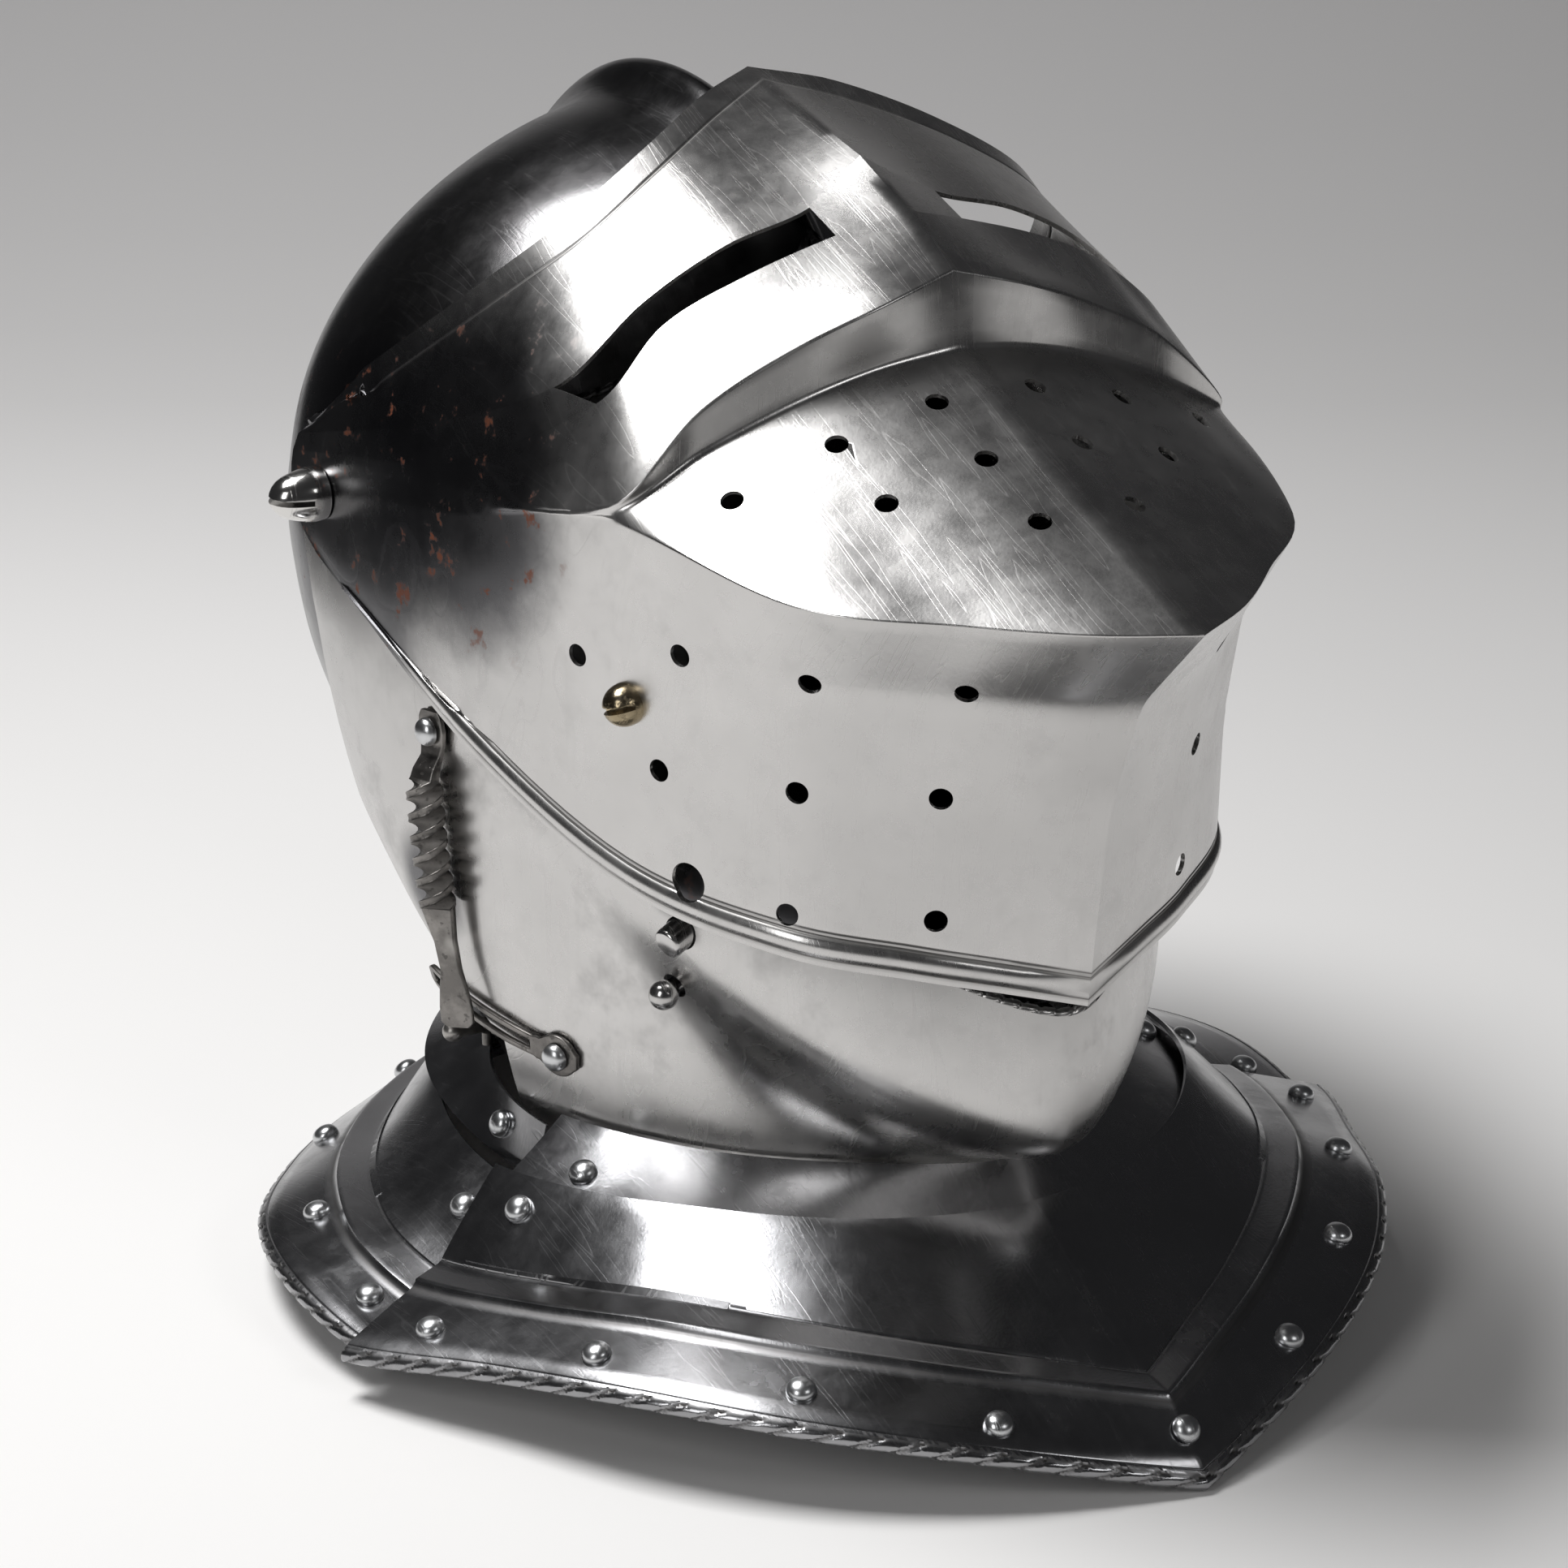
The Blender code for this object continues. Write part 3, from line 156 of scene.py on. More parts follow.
# Sections through the pivot axis: angle, reach, fullness and share of the ridge
BEVOR_SECTIONS = ((-27, 1.00, 1.72, 1), (-31, 1.045, 1.78, 1), (-35, 1.085, 1.85, 1),
                  (-39, 1.06, 1.90, 0.5), (-43, 1.03, 1.90, 0), (-52, 1.14, 2.0, 0),
                  (-61, 1.22, 2.2, 0), (-70, 1.17, 2.3, 0), (-79, 1.00, 2.3, 0),
                  (-87, 0.86, 2.3, 0))
SKULL_SECTIONS = ((27, 1.00, 1.7, 1), (45, 1.00, 1.68, 1), (70, 1.00, 1.65, 1),
                  (95, 1.00, 1.65, 1), (120, 0.99, 1.7, 0.9), (145, 0.985, 1.8, 0.6),
                  (165, 0.99, 1.9, 0.3), (180, 1.00, 2.0, 0.1), (200, 1.08, 2.15, 0),
                  (220, 1.19, 2.2, 0), (235, 1.32, 2.2, 0), (246, 1.45, 2.1, 0),
                  (256, 1.62, 2.0, 0), (264, 1.86, 1.9, 0), (271, 2.04, 1.9, 0),
                  (278, 2.30, 1.9, 0), (291, 2.30, 1.9, 0))
EAR_RING = 0.040
EAR_RINGS = (0.036, 0.031, 0.027, 0.023, 0.019, 0.0145, 0.010, 0.005, 0.0)
EAR_FLAT = 0.010
EAR_SPREAD = 0.008
CORNER_AHEAD = 0.300
CORNER_LINE = ((0.02, -0.59), (0.30, -0.85))

# Rows around the neck: angle, then radius and height of seam, rib and rim in percent of
# GORGET_WIDTH and AXIS_HEIGHT
FRONT_GORGET = ((0, 70.9, 23.7, 108.8, 9.6, 120.2, 0.0), (6, 70.6, 23.7, 103.5, 11.0, 116.8, 2.2),
                (18, 69.6, 23.9, 96.5, 13.4, 112.0, 6.0), (32, 68.4, 24.2, 91.1, 15.2, 107.6, 8.6),
                (48, 67.1, 24.2, 87.0, 15.7, 102.8, 9.4), (65, 66.8, 23.2, 84.8, 13.5, 99.8, 7.4),
                (84, 67.1, 21.8, 85.8, 10.6, 104.3, 4.3))
REAR_GORGET = ((74, 65.0, 18.9, 85.8, 8.2, 100.4, 4.0), (90, 64.0, 18.9, 86.8, 10.6, 100.6, 5.6),
               (106, 64.2, 18.6, 84.8, 11.0, 99.2, 4.8), (125, 66.5, 18.6, 83.0, 10.0, 95.6, 2.4),
               (145, 71.0, 19.4, 83.4, 9.2, 94.4, 0.5), (162, 75.5, 20.4, 84.8, 9.0, 95.4, 0.0),
               (180, 77.0, 20.9, 85.8, 9.0, 96.2, 0.0))
FRONT_EDGE_SLANT = -4.5
REAR_EDGE_SLANT = 6.4
FRONT_COLLAR = ((0, 73.4, 21.2), (18, 72.0, 21.3), (48, 69.6, 21.5), (65, 69.0, 20.4),
                (82, 68.6, 19.4))
REAR_COLLAR = ((84, 59.4, 18.0), (93, 59.8, 18.0), (106, 62.5, 18.8), (125, 68.6, 20.4),
               (145, 73.6, 21.0), (162, 77.8, 21.6), (180, 79.3, 22.1))
FRONT_COLLAR_EDGE = 0.056
REAR_COLLAR_EDGE = 0.0525
FRONT_COLLAR_LEAST = 0.52 * GORGET_WIDTH
REAR_COLLAR_LEAST = 0.566 * GORGET_WIDTH

# Breath holes of one half of the visor and the catch's hole, in percent
SIDE_BREATHS = ((83, -5.5), (72.7, -5.5), (59.6, -5), (46.4, -9.5), (79, -23.7), (69.8, -24),
                (55.6, -25), (77.7, -44), (68.6, -44))
UPPER_BREATHS = ((65.7, 61.2), (39.8, 62.5), (39, 71), (13, 80.8), (13.3, 71.7), (13.7, 63.2))
CATCH_HOLE = (58.3, -42.3)
BREATH_RADIUS = 0.0030
CATCH_HOLE_RADIUS = 0.0052
HASP_SPOT = (35.3, -83.0)
HASP_END_SPOT = (13.9, -79.4)

# Along the bar: place, width, thickness and lift, in shares of its length, width and thickness
BAR_SECTIONS = ((-0.065, 0.75, 0.45, 0.16), (-0.045, 1.0, 0.45, 0.16), (0.0, 1.12, 0.45, 0.16),
                (0.045, 1.0, 0.45, 0.16), (0.08, 0.85, 0.50, 0.24),
                (0.12, 0.95, 0.90, 0.46), (0.16, 1.00, 1.00, 0.60), (0.36, 1.00, 1.00, 0.58),
                (0.57, 1.00, 1.00, 0.45), (0.62, 0.85, 1.00, 0.38), (0.70, 0.62, 0.95, 0.26),
                (0.80, 0.60, 0.80, 0.14), (0.87, 0.85, 0.55, 0.10), (0.93, 1.00, 0.42, 0.07),
                (0.985, 1.00, 0.40, 0.05), (1.00, 0.70, 0.40, 0.04))
HASP_OUTLINE = ((-0.11, 0.35, 0), (-0.07, 0.85, 0), (0.0, 1.0, 0), (0.07, 0.85, 0),
                (0.13, 0, 0.9), (0.30, 0, 1.0), (0.50, 0, 1.0), (0.70, 0, 1.0), (0.93, 0, 1.0),
                (0.97, 0, 0.85), (1.0, 0, 0.5))

trees = {}               # outer faces of the finished plates, for what stands on them
looks = {}               # materials by name


class HelmetSizes(bpy.types.PropertyGroup):
    """Details of the plates' edges and fastenings."""
    bead_height: FloatProperty(name="Bead height", subtype="DISTANCE", default=1.3 * MM,
                               description="How far the bead of the visor's lower edge stands out")
    groove_depth: FloatProperty(name="Groove depth", subtype="DISTANCE", default=0.28 * MM,
                                description="Depth of the engraved lines")
    notch_pitch: FloatProperty(name="Notch pitch", subtype="DISTANCE", default=10.5 * MM,
                               description="Distance between the cuts of a roped rim")
    notch_depth: FloatProperty(name="Notch depth", subtype="FACTOR", default=0.30, min=0, max=0.6,
                               description="Depth of those cuts as a share of the rim's radius")
    rope_radius: FloatProperty(name="Rope radius", subtype="DISTANCE", default=1.9 * MM,
                               description="Radius of the roped edges of bowl and bevor")
    rivet_radius: FloatProperty(name="Rivet radius", subtype="DISTANCE", default=3.9 * MM,
                                description="Radius of a rivet's domed head")
    rivet_height: FloatProperty(name="Rivet height", subtype="DISTANCE", default=3.1 * MM,
                                description="Height of a rivet's domed head")
    turned_steps: IntProperty(name="Steps round", default=32, min=8, max=64,
                              description="Faces around a rivet or a screw")


class HelmetColours(bpy.types.PropertyGroup):
    """Colours of metal, floor and backdrop, and the strength of the lights."""
    steel: FloatVectorProperty(name="Steel", subtype="COLOR", size=3, min=0, max=1,
                               default=(0.64, 0.63, 0.62), description="Polished plates")
    bowl: FloatVectorProperty(name="Bowl", subtype="COLOR", size=3, min=0, max=1,
                              default=(0.36, 0.36, 0.37), description="Darker plates")
    blackened: FloatVectorProperty(name="Blackened", subtype="COLOR", size=3, min=0, max=1,
                                   default=(0.12, 0.118, 0.12), description="The bowl")
    # Colour of the tarnished patches; on the bevor the same dark patches are painted shade under
    # the side bar and the visor's lower edge
    tarnish_and_shade: FloatVectorProperty(name="Tarnish", subtype="COLOR", size=3, min=0, max=1,
                                 default=(0.055, 0.055, 0.062), description="Dark patches")
    rust: FloatVectorProperty(name="Rust", subtype="COLOR", size=3, min=0, max=1,
                              default=(0.30, 0.085, 0.03), description="Rust spots")
    # Colour of the grime in the grooves, creases and rope notches, which is also painted shade
    # there
    shade_and_dirt: FloatVectorProperty(name="Dirt", subtype="COLOR", size=3, min=0, max=1,
                              default=(0.05, 0.045, 0.04), description="Dirt in grooves")
    forged: FloatVectorProperty(name="Forged", subtype="COLOR", size=3, min=0, max=1,
                                default=(0.30, 0.285, 0.27), description="Bar, hasp and post")
    brassy: FloatVectorProperty(name="Brassy", subtype="COLOR", size=3, min=0, max=1,
                                default=(0.56, 0.46, 0.30), description="The visor's screw")
    floor: FloatVectorProperty(name="Floor", subtype="COLOR", size=3, min=0, max=1,
                               default=(0.92, 0.91, 0.90), description="Floor")
    # Colour at the top of the sweep; the blend into it from the floor colour is painted shade,
    # darker towards the top
    backdrop: FloatVectorProperty(name="Backdrop", subtype="COLOR", size=3, min=0, max=1,
                                  default=(0.58, 0.57, 0.57), description="Backdrop at the top")
    light: FloatProperty(name="Light", default=1.2, min=0, description="Strength of all lights")


def sizes():
    return bpy.context.scene.helmet_sizes


def colours():
    return bpy.context.scene.helmet_colours


class Value:
    """A number socket that takes part in Python expressions."""

    def __init__(self, tree, socket):
        self.tree = tree
        self.socket = socket

    def math(self, operation, *others, clamp=False):
        node = self.tree.nodes.new("ShaderNodeMath")
        node.operation = operation
        node.use_clamp = clamp
        for slot, other in enumerate((self, *others)):
            if isinstance(other, Value):
                self.tree.links.new(other.socket, node.inputs[slot])
            else:
                node.inputs[slot].default_value = other
        return Value(self.tree, node.outputs[0])

    def reflected(self, operation, other):
        node = self.tree.nodes.new("ShaderNodeMath")
        node.operation = operation
        node.inputs[0].default_value = other
        self.tree.links.new(self.socket, node.inputs[1])
        return Value(self.tree, node.outputs[0])

    def __add__(self, other):
        return self.math("ADD", other)

    __radd__ = __add__

    def __sub__(self, other):
        return self.math("SUBTRACT", other)

    def __rsub__(self, other):
        return self.reflected("SUBTRACT", other)

    def __mul__(self, other):
        return self.math("MULTIPLY", other)

    __rmul__ = __mul__

    def clamped(self):
        return self.math("ADD", 0.0, clamp=True)

    def least(self, other):
        return self.math("MINIMUM", other)

    def most(self, other):
        return self.math("MAXIMUM", other)

    def fade(self, low, high):
        """0 at low and 1 at high, smooth between."""
        node = self.tree.nodes.new("ShaderNodeMapRange")
        node.interpolation_type = "SMOOTHSTEP"
        self.tree.links.new(self.socket, node.inputs["Value"])
        node.inputs["From Min"].default_value = low
        node.inputs["From Max"].default_value = high
        return Value(self.tree, node.outputs["Result"])


class Finish:
    """One procedural material."""

    def __init__(self, name):
        self.material = bpy.data.materials.new(name)
        self.material.use_nodes = True
        self.tree = self.material.node_tree
        self.shader = self.tree.nodes["Principled BSDF"]
        self.place = self.node("ShaderNodeTexCoord").outputs["Object"]

    def node(self, kind, settings=None, **inputs):
        node = self.tree.nodes.new(kind)
        for key, value in (settings or {}).items():
            setattr(node, key, value)
        for key, value in inputs.items():
            self.feed(node.inputs[key.title()], value)
        return node

    def feed(self, slot, value):
        if isinstance(value, Value):
            self.tree.links.new(value.socket, slot)
        elif isinstance(value, bpy.types.NodeSocket):
            self.tree.links.new(value, slot)
        else:
            slot.default_value = value

    def value(self, socket):
        return Value(self.tree, socket)

    def stretched(self, scale, turn):
        node = self.node("ShaderNodeMapping", {"vector_type": "POINT"}, vector=self.place)
        node.inputs["Rotation"].default_value = [math.radians(a) for a in turn]
        node.inputs["Scale"].default_value = scale
        return node.outputs[0]

    def noise(self, scale, detail=3.0, rough=0.55, place=None):
        node = self.node("ShaderNodeTexNoise", {"noise_dimensions": "3D"},
                         vector=place or self.place, scale=scale, detail=detail,
                         roughness=rough)
        return self.value(node.outputs[0])

    def near(self, point, radius):
        """1 at a point, 0 beyond the radius, with a ragged border."""
        node = self.node("ShaderNodeVectorMath", {"operation": "DISTANCE"})
        self.feed(node.inputs[0], self.place)
        node.inputs[1].default_value = point
        ragged = (self.noise(26, 5, 0.65) - 0.5) * (0.45 * radius)
        away = self.value(node.outputs["Value"]) + ragged
        return 1 - away.fade(0.55 * radius, radius)

    def attribute(self, name):
        return self.value(self.node("ShaderNodeAttribute", {"attribute_name": name}).outputs[2])

    def mix(self, mask, low, high):
        node = self.node("ShaderNodeMix", {"data_type": "RGBA"})
        self.feed(node.inputs[0], mask)
        for slot, colour in ((node.inputs[6], low), (node.inputs[7], high)):
            self.feed(slot, colour if isinstance(colour, bpy.types.NodeSocket) else (*colour, 1))
        return node.outputs[2]

    def bump(self, height, distance, strength, under=None):
        node = self.node("ShaderNodeBump")
        self.feed(node.inputs["Height"], height)
        node.inputs["Distance"].default_value = distance
        node.inputs["Strength"].default_value = strength
        if under:
            self.tree.links.new(under, node.inputs["Normal"])
        return node.outputs[0]


def scratches(look, scale, turn, width):
    """Hair-thin straight scratches in one direction, broken up along their length."""
    along = look.stretched((scale, scale * 0.06, scale * 0.06), turn)
    lines = look.noise(1.0, 0.0, 0.5, along)
    return (1 - ((lines - 0.66) * (1 / width)).math("ABSOLUTE")).clamped()


def steel(name, colour, rough=0.2, waves=0.5, grain=0.5, tarnish_and_shade=(), rust=0.0, stains=0.2,
          scratch=0.3, shade_and_dirt=True):
    """Polished sheet: brushed grain, scratches, soft dents, stains, tarnished patches and rust; the
    patches on the bevor are painted shade, and the grooves get grime with painted shade.
    """
    if name in looks:
        return looks[name]
    c = colours()
    look = Finish(name)
    clouds = look.noise(14, 4, 0.6)
    fine = look.noise(120, 4, 0.65)
    blotch = look.noise(26, 5, 0.7).fade(0.54, 0.72)
    tint = look.mix(clouds.fade(0.35, 0.75), [0.86 * x for x in colour], colour)
    tint = look.mix(blotch * stains, tint, [0.6 * x for x in colour])
    tint = look.mix(fine.fade(0.5, 0.85) * 0.2, tint, [0.7 * x for x in colour])
    roughness = rough + (clouds - 0.5) * 0.22 + (fine - 0.5) * 0.16 + blotch * (0.2 * stains)
    marks = scratches(look, 420, (0, 0, 24), 0.02)
    marks = marks.most(scratches(look, 520, (25, 48, -40), 0.018))
    roughness = roughness + marks * (0.12 * scratch)
    # Tarnished patches with rust spots; the bevor's patches are painted shade under the side bar
    # and under the visor's lower edge
    for point, radius in tarnish_and_shade:
        patch = look.near(point, radius)
        tint = look.mix(patch * 0.9, tint, tuple(c.tarnish_and_shade))
        if rust:
            spots = fine.fade(0.60, 0.68) * patch * rust
            tint = look.mix(spots, tint, tuple(c.rust))
            roughness = roughness + spots * 0.4
    # Painted shade with grime: the vertex attribute darkens the grooves, creases and rope notches
    # and makes them rougher
    if shade_and_dirt:
        seam = look.attribute("shade_and_dirt").clamped()
        tint = look.mix(seam * 0.8, tint, tuple(c.shade_and_dirt))
        roughness = roughness + seam * 0.3
    look.feed(look.shader.inputs["Base Color"], tint)
    look.feed(look.shader.inputs["Roughness"], roughness.most(0.08).least(0.9))
    look.shader.inputs["Metallic"].default_value = 1.0
    dents = look.noise(15, 2.0, 0.5)
    under = look.bump(dents, 0.0016 * waves, 1.0)
    brushed = look.noise(1.0, 1.0, 0.5, look.stretched((1100, 1100, 40), (0, 20, 0)))
    texture = brushed * grain - marks * scratch
    look.feed(look.shader.inputs["Normal"], look.bump(texture, 0.00003, 0.7, under))
    looks[name] = look.material
    return look.material


def forged(name, colour, rough=0.38):
    """Hammered and filed steel, darker in its hollows."""
    if name in looks:
        return looks[name]
    look = Finish(name)
    clouds = look.noise(110, 5, 0.65)
    pits = look.noise(420, 3, 0.6).fade(0.58, 0.7)
    tint = look.mix(clouds.fade(0.38, 0.7), [0.55 * x for x in colour], colour)
    tint = look.mix(pits * 0.5, tint, [0.3 * x for x in colour])
    tint = look.mix(look.noise(60, 2).fade(0.62, 0.75) * 0.5, tint, (0.62, 0.6, 0.57))
    look.feed(look.shader.inputs["Base Color"], tint)
    look.feed(look.shader.inputs["Roughness"], rough + (clouds - 0.5) * 0.3 + pits * 0.15)
    look.shader.inputs["Metallic"].default_value = 1.0
    under = look.bump(clouds, 0.0003, 0.8)
    look.feed(look.shader.inputs["Normal"], look.bump(pits, -0.00008, 0.8, under))
    looks[name] = look.material
    return look.material


def place(side, ahead, up):
    return Vector((side, AXIS_Y - ahead, AXIS_HEIGHT + up))


def blend_cubic(start, start_slope, end, end_slope, span, t):
    value = (2 * t ** 3 - 3 * t ** 2 + 1) * start + (3 * t ** 2 - 2 * t ** 3) * end
    slope = (t ** 3 - 2 * t ** 2 + t) * start_slope + (t ** 3 - t ** 2) * end_slope
    return value + span * slope


def curve_through(stations, steps):
    """Points on a smooth curve through the stations, with steps[i] pieces in interval i."""
    points = np.array(stations, dtype=float)
    count = len(points)
    knots = np.zeros(count)
    for i in range(1, count):
        knots[i] = knots[i - 1] + max(np.linalg.norm(points[i] - points[i - 1]), 1e-6) ** 0.5
    tangents = np.zeros_like(points)
    for i in range(count):
        low = max(i - 1, 0)
        high = min(i + 1, count - 1)
        tangents[i] = (points[high] - points[low]) / (knots[high] - knots[low])
    result = [points[0]]
    for i in range(count - 1):
        span = knots[i + 1] - knots[i]
        for k in range(1, steps[i] + 1):
            result.append(blend_cubic(points[i], tangents[i], points[i + 1], tangents[i + 1],
                                      span, k / steps[i]))
    return result


def read_table(table, value):
    """Smooth values of a table at one value of its first column."""
    columns = np.array(table, dtype=float)
    columns = columns[np.argsort(columns[:, 0])]
    keys = columns[:, 0]
    spot = np.clip(value, keys[0], keys[-1])
    i = int(np.clip(np.searchsorted(keys, spot) - 1, 0, len(keys) - 2))
    slopes = np.gradient(columns[:, 1:], keys, axis=0)
    span = keys[i + 1] - keys[i]
    return blend_cubic(columns[i, 1:], slopes[i], columns[i + 1, 1:], slopes[i + 1], span,
                       (spot - keys[i]) / span)


def linear_table(table, value):
    keys = [row[0] for row in table]
    return [float(np.interp(value, keys, column)) for column in list(zip(*table))[1:]]


def grid(rows, lifts=None, shade_and_dirt=None):
    """A sheet: a grid laid through rows of points, then lifted along its own normals."""
    down = len(rows)
    across = len(rows[0])
    shape = bmesh.new()
    bmesh.ops.create_grid(shape, x_segments=across - 1, y_segments=down - 1, size=0.5)
    # The per-row values go into a vertex attribute: grime with painted shade on the plates, the
    # place along the sweep on the floor
    layer = shape.verts.layers.float.new("shade_and_dirt")
    found = []
    for vert in shape.verts:
        i = round((0.5 - vert.co.y) * (down - 1))
        j = round((vert.co.x + 0.5) * (across - 1))
        found.append((vert, i, j))
    for vert, i, j in found:
        vert.co = rows[i][j]
        if shade_and_dirt is not None:
            vert[layer] = shade_and_dirt[i]
    shape.normal_update()
    if lifts is not None:
        for vert, i, j in found:
            vert.co = vert.co + vert.normal * lifts[i][j]
    return shape


def facing_out(shape, inside):
    """Turn an open sheet so that its faces look away from a point."""
    bmesh.ops.recalc_face_normals(shape, faces=shape.faces)
    votes = sum(face.calc_area() * face.normal.dot(face.calc_center_median() - inside)
                for face in shape.faces)
    if votes < 0:
        bmesh.ops.reverse_faces(shape, faces=shape.faces)


def everything(shape):
    return shape.verts[:] + shape.edges[:] + shape.faces[:]

def both_halves(shape, inside):
    """Mirror a half sheet and join the two at the median plane."""
    for vert in shape.verts:
        if abs(vert.co.x) < 0.00006:
            vert.co.x = 0
    bmesh.ops.remove_doubles(shape, verts=shape.verts, dist=0.00002)
    bmesh.ops.mirror(shape, geom=everything(shape), merge_dist=0.00003, axis="X")
    bmesh.ops.remove_doubles(shape, verts=shape.verts, dist=0.00002)
    facing_out(shape, inside)


def soften(mesh, degrees=38):
    """Smooth faces with sharp creases."""
    shape = bmesh.new()
    shape.from_mesh(mesh)
    for face in shape.faces:
        face.smooth = True
    for edge in shape.edges:
        edge.smooth = edge.calc_face_angle(0) < math.radians(degrees)
    shape.to_mesh(mesh)
    shape.free()


def new_object(name, shape):
    mesh = bpy.data.meshes.new(name)
    shape.to_mesh(mesh)
    shape.free()
    thing = bpy.data.objects.new(name, mesh)
    bpy.context.scene.collection.objects.link(thing)
    return thing

def add_object(name, shape, material, body, nodes):
    thing = new_object(name, shape)
    thing.data.materials.append(material)
    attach(thing, body)
    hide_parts(*nodes)
    return thing

def apply_modifiers(thing):
    graph = bpy.context.evaluated_depsgraph_get()
    mesh = bpy.data.meshes.new_from_object(thing.evaluated_get(graph))
    thing.modifiers.clear()
    old = thing.data
    thing.data = mesh
    bpy.data.meshes.remove(old)


def subtract(thing, cutters, crossing=False):
    """Cut with other objects; crossing allows for an inner side that crosses itself."""
    for cutter in cutters:
        cut = thing.modifiers.new("Cut", "BOOLEAN")
        cut.operation = "DIFFERENCE"
        cut.solver = "EXACT"
        cut.use_self = crossing
        cut.object = cutter
    apply_modifiers(thing)
    for cutter in cutters:
        bpy.data.objects.remove(cutter)

def add_plate(name, shape, material, body, cutters=()):
    """A sheet becomes a plate of real thickness, inwards, with its holes cut."""
    trees[name] = BVHTree.FromBMesh(shape)
    thing = add_object(name, shape, material, body, [name.replace("_finished", "")])
    wall = thing.modifiers.new("Sheet", "SOLIDIFY")
    wall.thickness = SHEET
    wall.offset = -1
    subtract(thing, cutters, True)
    soften(thing.data)
    return thing

def standing(point, normal, towards=Vector((0, 0, 1))):
    z = normal.normalized()
    x = towards - towards.dot(z) * z
    if x.length < 0.001:
        x = z.orthogonal()
    x.normalize()
    return Matrix.Translation(point) @ Matrix((x, z.cross(x), z)).transposed().to_4x4()


def hit(tree, start, direction):
    point, normal, _, _ = tree.ray_cast(start, direction)
    if point is None:
        point, normal, _, _ = tree.find_nearest(start)
    if normal.dot(direction) > 0:
        normal = -normal
    return point, normal


def from_side(tree, ahead, up, hand=1):
    return hit(tree, place(hand * 2 * HALF_WIDTH, ahead, up), Vector((-hand, 0, 0)))


def drill(shape, point, normal, radius, depth, segments=24):
    bmesh.ops.create_cone(shape, cap_ends=True, segments=segments, radius1=radius,
                          radius2=radius, depth=depth, matrix=standing(point, normal))


def pivot_cutter():
    shape = bmesh.new()
    drill(shape, place(0, 0, 0), Vector((1, 0, 0)), PIVOT_BORE_RADIUS, 2 * HALF_WIDTH + 0.02)
    return new_object("pivot_drill", shape)

def spun(profile, steps):
    """A closed turned shape about Z from a half section of radius and height."""
    shape = bmesh.new()
    verts = [shape.verts.new((r, 0, z)) for r, z in profile]
    edges = [shape.edges.new(pair) for pair in zip(verts, verts[1:])]
    bmesh.ops.spin(shape, geom=verts + edges, cent=(0, 0, 0), axis=(0, 0, 1),
                   angle=2 * math.pi, steps=steps, use_merge=True)
    bmesh.ops.remove_doubles(shape, verts=shape.verts, dist=SAME_PLACE)
    bmesh.ops.recalc_face_normals(shape, faces=shape.faces)
    return shape


def arc(radius, height, base=0.0, count=9, power=1.0):
    """Half section of a dome from its top to its foot."""
    points = []
    for turn in np.linspace(0, math.pi / 2, count):
        points.append((radius * math.sin(turn), base + height * math.cos(turn) ** power))
    return points


def add_turned(name, profile, matrix, material, body, node, slot=0.0, depth=0.0017):
    """A turned piece, with a driver's slot across its head where one is given."""
    thing = add_object(name, spun(profile, sizes().turned_steps), material, body, [node])
    if slot:
        top = max(z for _, z in profile)
        blade = bmesh.new()
        bmesh.ops.create_cube(blade, size=1)
        bmesh.ops.scale(blade, vec=(0.1, slot, 2 * depth), verts=blade.verts)
        bmesh.ops.translate(blade, vec=(0, 0, top), verts=blade.verts)
        subtract(thing, [new_object(name + "_slot", blade)])
    thing.data.transform(matrix)
    soften(thing.data, 32)
    return thing


def along_axis(node, axis):
    """Where a turned solid lies on its axis: middle of its axis, lowest and highest place."""
    points = [vert.co for vert in bpy.data.objects[node].data.vertices]
    heights = [point.dot(axis) for point in points]
    flat = [point - height * axis for point, height in zip(points, heights)]
    middle = sum(flat, Vector()) / len(flat)
    return middle, min(heights), max(heights)


def visor_lines():
    lines = []
    for stations, angle in zip(VISOR_LINES, VISOR_EAR_ANGLES):
        points = []
        for side, ahead, up in stations:
            rise = CROWN if up >= 0 else DROP
            points.append((side * HALF_WIDTH / 100, ahead * REACH / 100, up * rise / 100))
        turn = math.radians(angle)
        cheek = points[-1]
        far = Vector((-EAR_RADIUS * math.cos(turn), EAR_RADIUS * math.sin(turn)))
        from_far = Vector(cheek[1:]) - far
        near = far + from_far.normalized() * EAR_ENTRY
        beyond = max(near.length - EAR_RADIUS, 0) / (math.hypot(*cheek[1:]) - EAR_RADIUS)
        points.append((HALF_WIDTH - beyond * (HALF_WIDTH - cheek[0]), *near))
        points.append((HALF_WIDTH, *far))
        lines.append(np.array(curve_through(points, VISOR_COLUMN_STEPS)))
    return lines


def filleted_rows(lines):
    """Rows between the lines, each line inside rounded by its fillet; also the slot's rows."""
    rows = [lines[0]]
    slot = None
    for i in range(1, len(lines)):
        start = rows[-1]
        last = i == len(lines) - 1
        radius = VISOR_FILLETS[i] * MM
        back = lines[i - 1] - lines[i]
        back_length = np.linalg.norm(back, axis=1, keepdims=True).clip(1e-6)
        reach = np.minimum(radius, 0.4 * back_length)
        end = lines[i] + back / back_length * reach
        count = VISOR_ROW_STEPS[i - 1]
        first = len(rows) - 1
        for k in range(1, count):
            rows.append(start + (end - start) * k / count)
        rows.append(end)
        if i - 1 == SIGHT_ROW:
            slot = (first, len(rows) - 1)
        if not last:
            ahead = lines[i + 1] - lines[i]
            ahead_length = np.linalg.norm(ahead, axis=1, keepdims=True).clip(1e-6)
            out = ahead / ahead_length * np.minimum(radius, 0.4 * ahead_length)
            inward = back / back_length * reach
            for t in (0.25, 0.5, 0.75, 1.0):
                rows.append(lines[i] + (1 - t) ** 2 * inward + t ** 2 * out)
    return rows, slot


